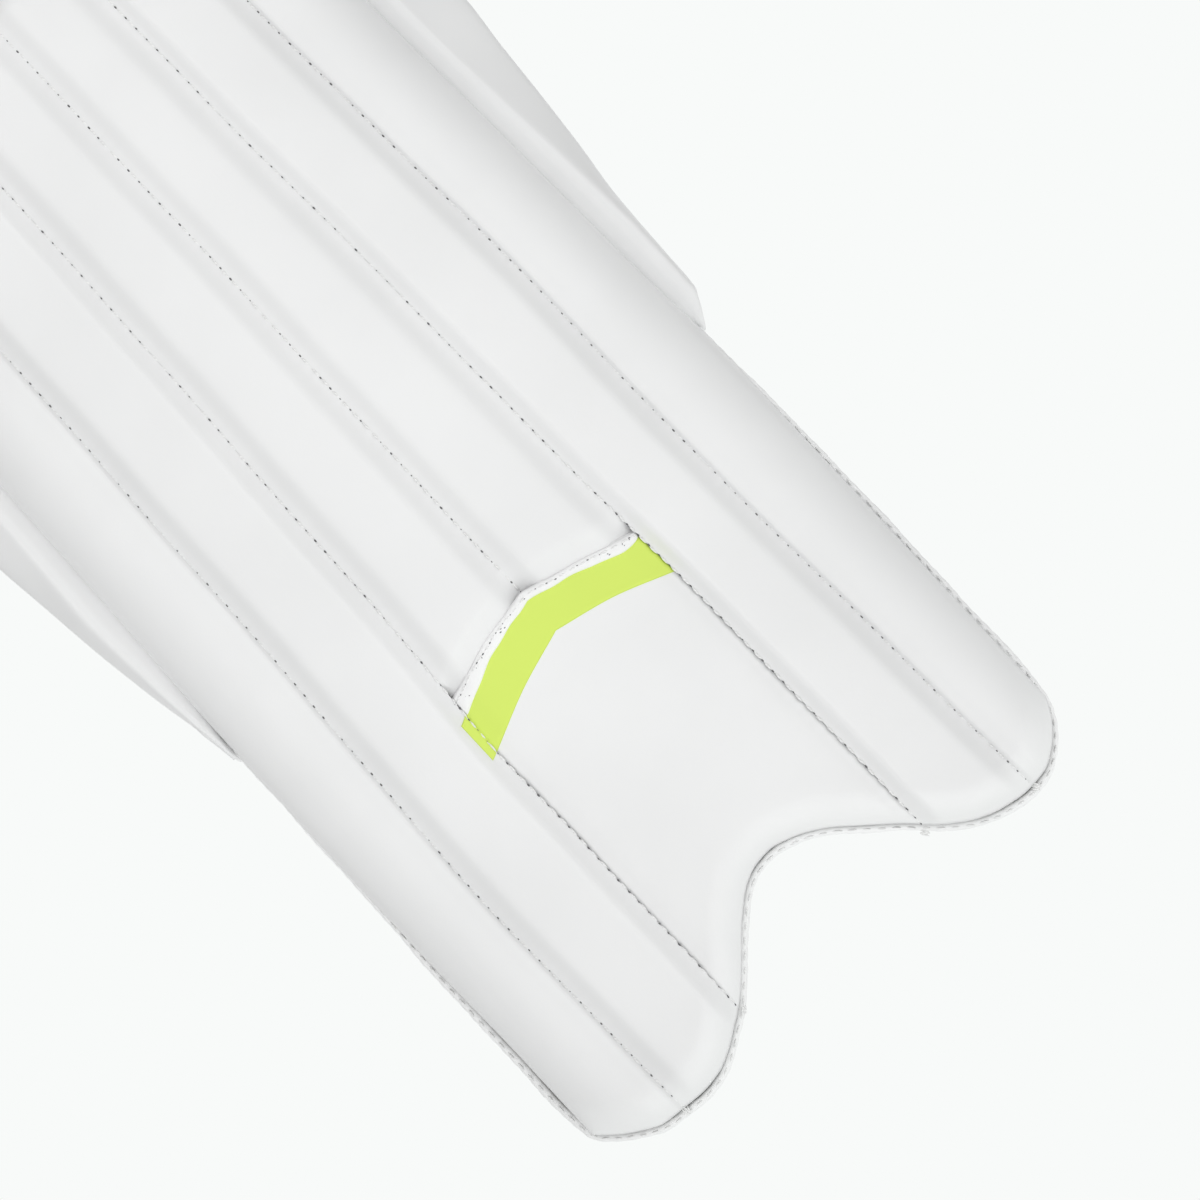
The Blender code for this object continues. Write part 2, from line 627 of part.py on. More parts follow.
def wing(side, name, fold):
    lines = {z: wing_section(side, z) for z in WING_ROWS}
    inset, skin_inset = 0.26, 0.10

    def foam_place(i, z, front):
        outer, inner = lines[z]
        a, b = Vector(outer[i]), Vector(inner[i])
        p = b.lerp(a, 1 - inset if front else inset)
        return Vector((p.x, p.y, z)) * MM

    def u_line(z):
        """Round the wing: the fold, the outer face, the rear edge, the inner face and the fold again."""
        outer, inner = lines[z]
        points = [Vector(inner[i]).lerp(Vector(outer[i]), 1 - skin_inset) for i in range(1, 10)]
        tip = Vector(outer[9]).lerp(Vector(inner[9]), 0.5)
        before = Vector(outer[8]).lerp(Vector(inner[8]), 0.5)
        points.append(tip + (tip - before).normalized() * 0.9)
        points += [Vector(inner[i]).lerp(Vector(outer[i]), skin_inset) for i in range(9, 0, -1)]
        return points

    block(name + "_foam", list(range(1, 10)), WING_ROWS[2:-1], foam_place, FOAM, fold)
    us = {z: u_line(z) for z in WING_ROWS}
    order = list(range(len(us[WING_ROWS[0]])))

    def cover_place(i, z):
        p = us[z][i]
        return Vector((p.x, p.y, z)) * MM
    sheet(name + "_cover", order if side > 0 else order[::-1], WING_ROWS, cover_place, SKIN * 0.8, WHITE_PU, fold, even=False)


def fold_point(side):
    low, high = wing_section(side, 240.0)[0][0], wing_section(side, 420.0)[0][0]
    return ((low[0] + high[0]) / 2, (low[1] + high[1]) / 2 + 1.0)


left_fold = pivot("left_wing_fold", *fold_point(-1), 320.0)
right_fold = pivot("right_wing_fold", *fold_point(1), 320.0)
wing(-1, "left_wing", left_fold)
wing(1, "right_wing", right_fold)


# ---------------------------------------------------------------- knee rolls
ROLL_X = [-1.0, -0.985, -0.93, -0.8, -0.55, -0.28, 0.0, 0.28, 0.55, 0.8, 0.93, 0.985, 1.0]
ROLL_Q = [-1.0, -0.8, -0.6, -0.35, 0.0, 0.35, 0.6, 0.8, 1.0]
ROLL_WIDE = (110.0, ROLL_HALF, 114.0)


def roll_point(s, q, low, high, half, shrink):
    """A point of a roll: s across, q from its lower rear edge round the front to its upper rear edge."""
    middle, tall = (low + high) / 2, (high - low) / 2 - shrink
    ends = math.sqrt(max(0.0, 1 - abs(s) ** 7))
    deep = mix(3.4, ROLL_DEPTH, ends) - shrink
    a = q * math.pi / 2
    z = middle + tall * math.copysign(abs(math.sin(a)) ** 0.85, a) * mix(0.88, 1.0, ends)
    return at(half * s, 1.0 + max(deep - 1.0, 0.8) * math.cos(a) ** 0.62 if abs(q) < 1 else 1.0, z)


def knee_roll(name, span, half, section):
    low, high = span
    sheet(name + "_cover", ROLL_X, ROLL_Q, lambda s, q: roll_point(s, q, low + SKIN, high - SKIN, half - 1.5, 0.0), SKIN * 0.8, WHITE_PU, section)
    front = [q for q in ROLL_Q if abs(q) < 1]

    def foam_place(i, s):
        if i < len(front):
            return roll_point(s, front[i] * 0.98, low + SKIN, high - SKIN, half - 3.0, 1.0)
        z = mix(high - 5.5, low + 5.5, (i - len(front)) / 2.0)
        return at((half - 3.0) * s, 1.2, z)
    loft(name + "_foam", len(front) + 3, [0.96 * s for s in ROLL_X[1:-1]], foam_place, FOAM, section)
    rows = [low + 2.5, (low + high) / 2, high - 2.5]
    block(name + "_liner", LINER_S, rows, lambda s, z, f: at((half - 4.0) * s, LINER_FRONT if f else LINER_N, z), LINING, section)


for i, (name, section) in enumerate((("lower_knee_roll", lower_roll), ("middle_knee_roll", middle_roll), ("upper_knee_roll", upper_roll))):
    knee_roll(name, ROLL_Z[i], ROLL_WIDE[i], section)

cushion("knee_cup", -50, 50, ROLL_Z[1][0] + 3, ROLL_Z[1][1] - 3, -2.9, -15, middle_roll, LINING, upright=False)

# ---------------------------------------------------------------- top hat
HAT_S = [-1.0, -0.975, -0.9, -0.8, -0.7, -0.672, -0.6, -0.5, -0.4, -0.336, -0.27, -0.16, -0.06]
HAT_S = HAT_S + [0.0] + [-s for s in reversed(HAT_S)]
HAT_SEAMS = (-1.0, -0.672, -0.336, 0.0, 0.336, 0.672, 1.0)
HAT_ROWS = [0.0, 0.02, 0.1, 0.4, 0.7, 0.9, 0.97, 1.0]


def hat_half(z):
    return mix(HAT_HALF, HAT_HALF - 5.0, (z - HAT_BOTTOM) / (HAT_TOP - HAT_BOTTOM))


def hat_crest(s):
    """The top edge: a broad arch with rounded shoulders."""
    return mix(HAT_TOP - 78.0, HAT_TOP, (1 - abs(s) ** 2.4) ** 0.62)


def hat_n(s, t):
    """Front of the top hat's foam, with a groove on each sewn line and a rolled rim."""
    q = (s + 1.0) / 0.336 if abs(s) <= 1 else 0.0
    k = min(5, int((s + 1.008) / 0.336))
    f = min(1.0, max(0.0, (s - HAT_SEAMS[k]) / (HAT_SEAMS[k + 1] - HAT_SEAMS[k])))
    z = mix(HAT_BOTTOM, hat_crest(s), t)
    rim = min(round_end((1 - abs(s)) * HAT_HALF + 0.3, 14.0), round_end(hat_crest(s) - z, 12.0), round_end(z - HAT_BOTTOM, 9.0))
    outer = (k == 0 and f < 0.5) or (k == 5 and f > 0.5)
    crown = N_CROWN - 2.0
    return mix(5.0, crown if outer else mix(11.5, crown, bump(f)), rim)


def hat_place(s, t, inset, n):
    z = mix(HAT_BOTTOM + inset, hat_crest(s) - inset * 0.6, t)
    return at((hat_half(z) - inset) * s, n, z)


sheet("top_hat_cover", HAT_S, HAT_ROWS, lambda s, t: hat_place(s, t, 3.2, hat_n(s, t) + SKIN_GAP), SKIN, WHITE_PU, top_hat)
for name, a, b in (("left", -1.0, -0.336), ("centre", -0.336, 0.336), ("right", 0.336, 1.0)):
    own = [s for s in HAT_S if a - 1e-6 <= s <= b + 1e-6]

    def hat_foam_place(s, t, front, a=a, b=b):
        shift = 0.005 if abs(s - a) < 1e-6 and a > -1 else -0.005 if abs(s - b) < 1e-6 and b < 1 else 0.0
        return hat_place(s + shift, mix(0.015, 0.985, t), 4.4, hat_n(s, t) - 1.0 if front else 0.0)
    block("top_hat_foam_" + name, own, HAT_ROWS, hat_foam_place, FOAM, top_hat)
block("top_hat_liner", LINER_S, HAT_ROWS, lambda s, t, f: hat_place(s, t, 3.0, LINER_FRONT if f else LINER_N), LINING, top_hat)
cushion("upper_knee_locator", -62, 62, HAT_BOTTOM + 8, HAT_BOTTOM + 40, -2.9, -15, top_hat, LINING, upright=False)


def hat_binding_points():
    points = [at(-hat_half(z) + 1.4, 1.1, z) for z in (HAT_BOTTOM + 4, 620, 660, 690)]
    for i in range(1, 28):
        a = math.pi * (1 - i / 28)
        s = math.copysign(abs(math.cos(a)) ** 0.85, math.cos(a))
        z = hat_crest(s)
        points.append(at(s * (hat_half(z) - 1.4), 1.1, z - 0.4))
    return points + [at(hat_half(z) - 1.4, 1.1, z) for z in (690, 660, 620, HAT_BOTTOM + 4)]


tube("top_hat_binding", hat_binding_points(), BINDING_R * 0.9, BINDING, top_hat)


# ---------------------------------------------------------------- straps
def sideways(line):
    """Unit normals to the left of a line of plan points."""
    made = []
    for i in range(len(line)):
        d = (line[min(i + 1, len(line) - 1)] - line[max(i - 1, 0)]).normalized()
        made.append(Vector((-d.y, d.x)))
    return made


def band(name, line, low, high, near, far, mat, parent, steps=(0.0, 0.5, 1.0), point=0.0):
    """A flat band standing on edge along plan points, between two distances to the left of them."""
    normals = sideways(line)
    last = len(line) - 1

    def place(i, r, front):
        p = line[i] + normals[i] * (far if front else near)
        trim = point if i in (0, last) and point else 0.0
        return Vector((p.x, p.y, mix(low + trim, high - trim, r))) * MM
    return block(name, list(range(last + 1)), list(steps), place, mat, parent)


def offset_line(line, d):
    return [p + n * d for p, n in zip(line, sideways(line))]


def rear_line(x0, x1, z, n, steps):
    return [Vector((at(mix(x0, x1, i / steps), n, z) / MM).to_2d()) for i in range(steps + 1)]


STRAP_HALF = 1.1          # half the thickness of the strap webbing
PATCH_LIFT = 0.95         # air under a sewn patch
LIE = PATCH_LIFT + 1.3 + 0.4 + 1.1 + 0.35 + STRAP_HALF   # centre of a fastened strap above what it lies on


def plan(x, n, z):
    p = at(x, n, z) / MM
    return Vector((p.x, p.y))


def rear_strap(name, z, tall, x_end, deep, body):
    """A strap sewn behind the pad's left edge that goes round the leg and lies on a patch behind the right edge."""
    low, high = z - tall / 2, z + tall / 2
    start = plan(-x_end + 1.5, LINER_N - 4.6, z)
    band(name + "_anchor", rear_line(-x_end - 1.0, -x_end + 22, z, LINER_N - PATCH_LIFT, 3), low + 1, high - 1, 0.0, 2.0, WEBBING, body)
    band(name + "_loop_patch", rear_line(x_end - 27, x_end, z, LINER_N - PATCH_LIFT, 4), low + 1, high - 1, 0.0, 1.3, HOOK, body)
    lie = rear_line(x_end - 24, x_end - 2, z, LINER_N - LIE, 4)
    turn = lie[0]
    route = [start, start + Vector((3.0, 14.0)), (-x_end * 0.87, mix(start.y, deep, 0.55)), (-x_end * 0.55, deep * 0.86), (0.0, deep),
             (x_end * 0.5, deep * 0.86), (x_end * 0.74, mix(turn.y, deep, 0.5)), (turn.x - 4.0, turn.y + 17), (turn.x - 1.5, turn.y + 5.0), lie[1]]
    line = arc(route, 26) + lie[2:]
    axis = pivot(name + "_axis", start.x, start.y, z)
    band(name, line, low, high, -STRAP_HALF, STRAP_HALF, WEBBING, axis)
    hook = rear_line(x_end - 18, x_end - 3, z, LINER_N - PATCH_LIFT - 1.7, 3)
    band(name + "_hook_patch", hook, low + 2, high - 2, 0.0, 1.1, HOOK, axis)
    if parent_of[name] is not shin:
        hang(axis, parent_of[name])
    return start


def hang(child, parent):
    child.parent = parent
    child.location = Vector(child.location) - Vector(parent.location)


def wing_line(side, z, t0, t1, d, steps):
    """Points along a wing's outer face from station t0 to t1, lifted outwards by d."""
    outer = [Vector(p) for p in wing_section(side, z)[0]]
    made = []
    for j in range(steps + 1):
        t = mix(t0, t1, j / steps)
        i = min(int(t), len(outer) - 2)
        tangent = (outer[i + 1] - outer[i]).normalized()
        if abs(t - round(t)) < 1e-6 and 0 < round(t) < len(outer) - 1:
            i = round(t)
            tangent = (outer[i + 1] - outer[i - 1]).normalized()
        out = Vector((tangent.y, -tangent.x)) * side
        made.append(outer[min(int(t), len(outer) - 2)].lerp(outer[min(int(t), len(outer) - 2) + 1], t - min(int(t), len(outer) - 2)) + out * d)
    return made


parent_of = {"ankle_strap": shin, "knee_strap": middle_roll}
rear_strap("ankle_strap", 110.0, 38.0, 103.0, 36.0, shin)
rear_strap("knee_strap", 504.0, 36.0, 110.0, 62.0, middle_roll)

# The calf strap is sewn to the left wing and fastens over the right one.
CALF_Z, CALF_TALL = 350.0, 38.0
WING_LIFT = 1.2
calf_low, calf_high = CALF_Z - CALF_TALL / 2, CALF_Z + CALF_TALL / 2
band("calf_strap_anchor", wing_line(-1, CALF_Z, 6.25, 8.0, WING_LIFT, 7), calf_low + 1, calf_high - 1, 0.0, 2.0, WEBBING, left_fold)
band("calf_strap_loop_patch", wing_line(1, CALF_Z, 8.75, 6.75, WING_LIFT, 8), calf_low + 1, calf_high - 1, 0.0, 1.3, HOOK, right_fold)
calf_end = wing_line(1, CALF_Z, 8.5, 7.0, WING_LIFT - PATCH_LIFT + LIE, 6)
calf_start = wing_line(-1, CALF_Z, 8.05, 8.6, 5.0, 1)
calf_route = calf_start + [(-84, 66), (-45, 82), (0, 87), (45, 82), (82, 66)] + [calf_end[0], calf_end[1]]
calf_axis = pivot("calf_strap_axis", calf_start[0].x, calf_start[0].y, CALF_Z)
band("calf_strap", arc(calf_route, 24) + calf_end[2:], calf_low, calf_high, -STRAP_HALF, STRAP_HALF, WEBBING, calf_axis)
band("calf_strap_hook_patch", wing_line(1, CALF_Z, 8.5, 7.25, WING_LIFT + 1.7, 5), calf_low + 2, calf_high - 2, 0.0, 1.1, HOOK, calf_axis)
hang(calf_axis, left_fold)

# ---------------------------------------------------------------- the sections carry each other up the knee
for child, parent in ((top_hat, upper_roll), (upper_roll, middle_roll), (middle_roll, lower_roll), (lower_roll, shin), (left_fold, shin), (right_fold, shin)):
    hang(child, parent)
bpy.context.view_layer.update()
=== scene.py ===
"""Looks of the cricket leg pad: quilted face, instep panel, wings, knee rolls, top hat, lining and straps.

A point of the pad is (x, n, z) in millimetres: x across, z up the leg, n in front of the curved rear plane.
"""
import bpy
import bmesh
import json
import math
import numpy as np
from mathutils import Matrix, Vector, noise


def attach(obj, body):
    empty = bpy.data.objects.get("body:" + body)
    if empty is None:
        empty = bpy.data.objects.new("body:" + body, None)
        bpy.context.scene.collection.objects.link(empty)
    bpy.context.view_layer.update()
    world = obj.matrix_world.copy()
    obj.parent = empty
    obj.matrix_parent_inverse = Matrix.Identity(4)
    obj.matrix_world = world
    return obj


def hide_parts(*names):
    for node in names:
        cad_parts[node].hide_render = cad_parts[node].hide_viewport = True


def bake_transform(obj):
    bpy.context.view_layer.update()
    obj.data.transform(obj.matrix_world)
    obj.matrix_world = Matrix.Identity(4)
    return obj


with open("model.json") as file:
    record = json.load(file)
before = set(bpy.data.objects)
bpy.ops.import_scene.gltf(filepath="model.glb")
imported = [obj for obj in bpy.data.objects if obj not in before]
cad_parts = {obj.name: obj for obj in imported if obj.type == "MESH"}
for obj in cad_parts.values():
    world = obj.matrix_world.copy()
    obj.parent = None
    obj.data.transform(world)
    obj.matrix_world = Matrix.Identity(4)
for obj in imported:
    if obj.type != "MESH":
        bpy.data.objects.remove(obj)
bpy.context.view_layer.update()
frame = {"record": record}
MM = 0.001

# ------------------------------------------------------------------ the pad's own measures, mm
SHIN_TOP = 428.0
ROLL_Z = ((432.4, 477.6), (481.4, 526.6), (530.4, 575.6))
ROLL_WIDE = (110.0, 116.0, 114.0)
HAT_BOTTOM, HAT_TOP, HAT_HALF = 580.0, 785.0, 111.0
CROWN, EDGE_N = 22.2, 3.3
LINER_N = -2.2

LEFT_EDGE = [(0, -104.5), (50, -104.5), (100, -105.5), (200, -105), (240, -104), (300, -102.5), (430, -99)]
LEFT_OUTER = [(0, -76), (40, -77), (90, -78), (130, -77.3), (200, -74.7), (260, -73), (310, -71.5), (430, -69)]
LEFT_INNER = [(0, -40.5), (90, -40.5), (130, -41.5), (160, -40), (200, -38.5), (250, -37), (300, -35.5), (430, -33.8)]
CENTRE = [(0, 0), (430, 0)]
RIGHT_INNER = [(0, 45.5), (50, 44), (90, 43), (130, 42), (160, 40.8), (200, 39.3), (250, 38), (300, 36), (350, 34.3), (430, 33)]
RIGHT_OUTER = [(0, 80), (40, 78), (90, 76), (130, 74.5), (180, 72.8), (220, 72.3), (260, 71), (300, 69.2), (360, 67), (430, 65.5)]
RIGHT_EDGE = [(0, 103.5), (100, 103.5), (180, 103), (220, 101), (260, 99.5), (300, 98), (340, 96), (430, 95)]
SEAMS = (LEFT_EDGE, LEFT_OUTER, LEFT_INNER, CENTRE, RIGHT_INNER, RIGHT_OUTER, RIGHT_EDGE)
LEFT_REAR = [(0, -106), (25, -107.5), (90, -107.3), (130, -106.2), (200, -105.2), (300, -102.7), (430, -100)]
RIGHT_REAR = [(0, 104), (25, 105.3), (100, 105.3), (180, 103.4), (260, 100), (340, 96.6), (430, 95.6)]
OUTLINE = [(-108, 27), (-106, 17), (-100, 10.5), (-92, 5), (-84, 1.4), (-77, 0.8), (-68, 0.4), (-60, 1.5), (-52, 5),
           (-46, 9), (-40, 13), (-30, 22.5), (-20, 33), (-10, 41), (-4, 43.3), (2, 43.9), (10, 42), (20, 37),
           (30, 29), (40, 20.5), (46, 14.5), (52, 9.5), (60, 4.5), (68, 1.7), (78, 0.3), (86, 1.2), (93, 5),
           (99, 11), (103, 18), (106, 28)]
# Each of these has a corner at the middle, so the two sides are curves of their own.
INSTEP_TOP = ([(-44, 152.0), (-40, 153.2), (-20, 159.6), (0, 163.4)], [(0, 163.4), (20, 158.6), (40, 153.2), (44, 152.0)])
STRIPE_TOP = ([(-44, 145.6), (-40, 147.6), (-20, 156.6), (0, 161.4)], [(0, 161.4), (20, 156.8), (36, 151.6), (40, 151.4), (44, 152.6)])
STRIPE_FOOT = ([(-44, 130.2), (-40, 132.0), (-20, 140.9), (0, 147.4)], [(0, 147.4), (20, 143.0), (40, 135.8), (44, 134.2)])
RADIUS = [(0, 190), (120, 170), (800, 170)]
RIGHT_WING_OUT = [(186, 0.4), (190, 2.4), (195, 5.4), (200, 7.8), (215, 9.0), (240, 10.9), (260, 14.0), (280, 16.6), (300, 18.8), (326, 21.8), (374, 22), (430, 22.5)]
LEFT_WING_OUT = [(186, 0.3), (195, 1.4), (200, 2.6), (205, 4.0), (210, 5.1), (220, 7.2), (230, 9.0), (240, 10.7), (250, 12.2), (270, 14.8), (285, 16.8), (326, 20.8), (374, 21), (430, 21.5)]
WING_TOP = 426.0


# ------------------------------------------------------------------ mathematics on arrays
def through(knots, q):
    """A smooth curve through (q, value) stations, held level outside them."""
    k = np.array(knots, float)
    x, v = k[:, 0], k[:, 1]
    h = np.diff(x)
    d = np.diff(v) / h
    m = np.empty(len(x))
    m[0], m[-1] = d[0], d[-1]
    for i in range(1, len(x) - 1):
        m[i] = 0.0 if d[i - 1] * d[i] <= 0 else 2 * d[i - 1] * d[i] / (d[i - 1] + d[i])
    c = np.clip(np.asarray(q, float), x[0], x[-1])
    i = np.clip(np.searchsorted(x, c, side="right") - 1, 0, len(h) - 1)
    t = (c - x[i]) / h[i]
    return (v[i] * (1 + 2 * t) * (1 - t) ** 2 + m[i] * h[i] * t * (1 - t) ** 2
            + v[i + 1] * t * t * (3 - 2 * t) + m[i + 1] * h[i] * t * t * (t - 1))


def cornered(pair, x):
    x = np.asarray(x, float)
    return np.where(x < 0, through(pair[0], x), through(pair[1], x))


def step(q):
    q = np.clip(q, 0, 1)
    return q * q * (3 - 2 * q)


def mix(a, b, t):
    return a + (b - a) * t


def ripple(p, size, seed=0.0):
    """Smooth wandering between -1 and 1, from a few crossed waves. p is an array of (..., 2 or 3) in mm."""
    p = np.asarray(p, float)
    total = np.zeros(p.shape[:-1])
    rng = np.random.RandomState(int(seed * 1000) % 99991 + 7)
    for i in range(9):
        direction = rng.normal(size=p.shape[-1])
        direction /= np.linalg.norm(direction)
        wave = 2 * math.pi / (size * rng.uniform(0.7, 1.6))
        total += np.sin(p @ direction * wave + rng.uniform(0, 2 * math.pi))
    return total / 4.5


def rear_y(z):
    z = np.asarray(z, float)
    return -62.0 - np.where(z < 130, 14.0 * (1 - z / 130.0) ** 2, 0.0)


def at(x, n, z):
    """The pad's (x, n, z) in metres, for arrays."""
    x, n, z = np.broadcast_arrays(np.asarray(x, float), np.asarray(n, float), np.asarray(z, float))
    r = through(RADIUS, z)
    reach = r + n
    y = rear_y(z) + r - np.sqrt(np.maximum(reach ** 2 - x ** 2, 1.0))
    return np.stack([x, y, z], -1) * MM


def seam(k, z):
    return through(SEAMS[k], z)


def outline(x):
    return through(OUTLINE, x)


# ------------------------------------------------------------------ building meshes
def unit(v):
    return v / np.maximum(np.linalg.norm(v, axis=-1, keepdims=True), 1e-12)


def grid_normals(p):
    du = np.gradient(p, axis=1)
    dv = np.gradient(p, axis=0)
    return unit(np.cross(du, dv))


def new_object(name, verts, faces, mat=None, smooth=True, mats=None, index=None):
    mesh = bpy.data.meshes.new(name)
    mesh.from_pydata([tuple(v) for v in verts], [], [tuple(int(i) for i in f) for f in faces])
    mesh.validate()
    for m in (mats or [mat]):
        if m is not None:
            mesh.materials.append(m)
    if index is not None:
        mesh.polygons.foreach_set("material_index", np.asarray(index, np.int32))
    if smooth:
        mesh.polygons.foreach_set("use_smooth", np.ones(len(mesh.polygons), bool))
    mesh.update()
    obj = bpy.data.objects.new(name, mesh)
    bpy.context.scene.collection.objects.link(obj)
    return obj


def quads(rows, cols, base=0, flip=False, wrap=False):
    r = np.arange(rows - 1)[:, None]
    c = np.arange(cols if wrap else cols - 1)[None, :]
    n = (c + 1) % cols
    f = np.stack([r * cols + c, r * cols + n, (r + 1) * cols + n, (r + 1) * cols + c], -1).reshape(-1, 4) + base
    return f[:, ::-1] if flip else f


def shell(name, front, back, mat, back_mat=None, rim_mat=None):
    """A closed skin between two grids of points. The front's columns run left to right and its rows upwards, seen from outside."""
    rows, cols = front.shape[:2]
    count = rows * cols
    verts = np.concatenate([front.reshape(-1, 3), back.reshape(-1, 3)])
    ff = quads(rows, cols)
    bf = quads(rows, cols, count, flip=True)
    ring = ([(0, c) for c in range(cols)] + [(r, cols - 1) for r in range(1, rows)]
            + [(rows - 1, c) for c in range(cols - 2, -1, -1)] + [(r, 0) for r in range(rows - 2, 0, -1)])
    ids = np.array([r * cols + c for r, c in ring])
    nxt = np.roll(ids, -1)
    rim = np.stack([ids, ids + count, nxt + count, nxt], -1)
    mats = [mat] + [m for m in (back_mat, rim_mat) if m]
    index = np.concatenate([np.zeros(len(ff)), np.full(len(bf), 1 if back_mat else 0),
                            np.full(len(rim), mats.index(rim_mat) if rim_mat else 0)]).astype(int)
    return new_object(name, verts, np.concatenate([ff, bf, rim]), mats=mats, index=index)


def skin(name, front, thick, mat, back_mat=None, painted_shade=None):
    """A shell that is thick millimetres deep, measured along the surface's normal. The last argument is the painted
    shade of each front point, 0 to 1.
    """
    normal = grid_normals(front)
    obj = shell(name, front, front - normal * (thick * MM), mat, back_mat)
    # the painted shade is kept as a mesh attribute, which the coated cloth's material reads to darken its colour
    if painted_shade is not None:
        keep = obj.data.attributes.new("painted_shade", "FLOAT", "POINT")
        keep.data.foreach_set("value", np.concatenate([painted_shade.ravel(), painted_shade.ravel()]).astype(np.float32))
    return obj


def painted_slope_shade(x, n, low=0.14, high=0.60):
    """Painted shade, 0 to 1: strongest on the steep slopes that run down to a sewn line, where the valleys fall into
    shade.
    """
    slope = np.abs(np.gradient(n, axis=1) / np.maximum(np.abs(np.gradient(x, axis=1)), 1e-3))
    return step((slope - low) / (high - low))


# Nearness to the seams, 0 to 1, which bounds the painted shade on the slopes.
def near_seams(x, z, reach=12.0, seams=(1, 2, 3, 4, 5)):
    d = np.min([np.abs(x - seamline(k, z)) for k in seams], axis=0)
    return step((reach - d) / 3.0)


def slab(name, x, z, n_front, n_back, mat, back_mat=None, rim_mat=None):
    return shell(name, at(x, n_front, z), at(x, n_back, z), mat, back_mat, rim_mat)


def tube(name, path, radius, mat, sides=8, squeeze=None, up=None, caps=True):
    """A bar along path (metres). radius is a number or one per point; squeeze is (across, up) factors."""
    path = np.asarray(path, float)
    tangent = unit(np.gradient(path, axis=0))
    up = np.array(up if up is not None else (0, -1.0, 0.0))
    if up.ndim == 1:
        up = np.broadcast_to(up, path.shape)
    side = unit(np.cross(tangent, up))
    lift = unit(np.cross(side, tangent))
    radius = np.broadcast_to(np.asarray(radius, float) * MM, (len(path),))
    a = np.arange(sides) * 2 * math.pi / sides
    sx, sy = squeeze or (1.0, 1.0)
    ring = (path[:, None, :] + side[:, None, :] * (np.cos(a)[None, :, None] * sx * radius[:, None, None])
            + lift[:, None, :] * (np.sin(a)[None, :, None] * sy * radius[:, None, None]))
    faces = [tuple(f) for f in quads(len(path), sides, wrap=True)]
    if caps:
        faces.append(tuple(range(sides))[::-1])
        faces.append(tuple(range((len(path) - 1) * sides, len(path) * sides)))
    obj = new_object(name, ring.reshape(-1, 3), faces, mat)
    outward(obj)
    return obj


def outward(obj):
    bm = bmesh.new()
    bm.from_mesh(obj.data)
    if bm.calc_volume(signed=True) < 0:
        bmesh.ops.reverse_faces(bm, faces=bm.faces)
        bm.to_mesh(obj.data)
    bm.free()
    return obj


def even_path(points, pitch):
    """Points every pitch mm along a polyline in metres, and the tangent at each."""
    points = np.asarray(points, float)
    run = np.concatenate([[0], np.cumsum(np.linalg.norm(np.diff(points, axis=0), axis=1))]) / MM
    count = max(2, int(run[-1] / pitch) + 1)
    s = np.linspace(0, run[-1], count)
    return np.stack([np.interp(s, run, points[:, i]) for i in range(3)], -1)


THREADS = {}


def stitches(body, points, out, pitch=4.9, long=3.4, radius=0.40, lift=0.15, hole=True, seed=1, name=None, sink=0.0, hole_radius=0.42):
    """A row of stitches along points (metres), with out pointing off the surface. They are gathered by name and built later."""
    p = even_path(points, pitch)
    out = np.broadcast_to(np.asarray(out, float), np.asarray(points).shape) if np.asarray(out).ndim == 1 else np.asarray(out, float)
    src = np.asarray(points, float)
    o = np.stack([np.interp(np.linspace(0, 1, len(p)), np.linspace(0, 1, len(src)), out[:, i]) for i in range(3)], -1)
    rng = np.random.RandomState(seed)
    key = name or "stitching_" + body
    store = THREADS.setdefault(key, {"body": body, "thread": [], "hole": []})
    for i in range(len(p) - 1):
        t = p[i + 1] - p[i]
        gap = np.linalg.norm(t)
        if gap < 1e-9:
            continue
        t = t / gap
        u = unit(o[i] - t * (o[i] @ t))
        side = np.cross(t, u)
        centre = (p[i] + p[i + 1]) / 2 + u * (lift * MM) + side * rng.normal(0, 0.06) * MM
        t2 = unit(t + side * rng.normal(0, 0.05))
        store["thread"].append((centre, t2, u, long * rng.uniform(0.90, 1.06), radius))
        size = rng.uniform(0.35, 1.0)
        if hole and size > 0.45:
            store["hole"].append((p[i] + u * (sink * MM) + t * rng.normal(0, 0.15) * MM, t, u, hole_radius * size))


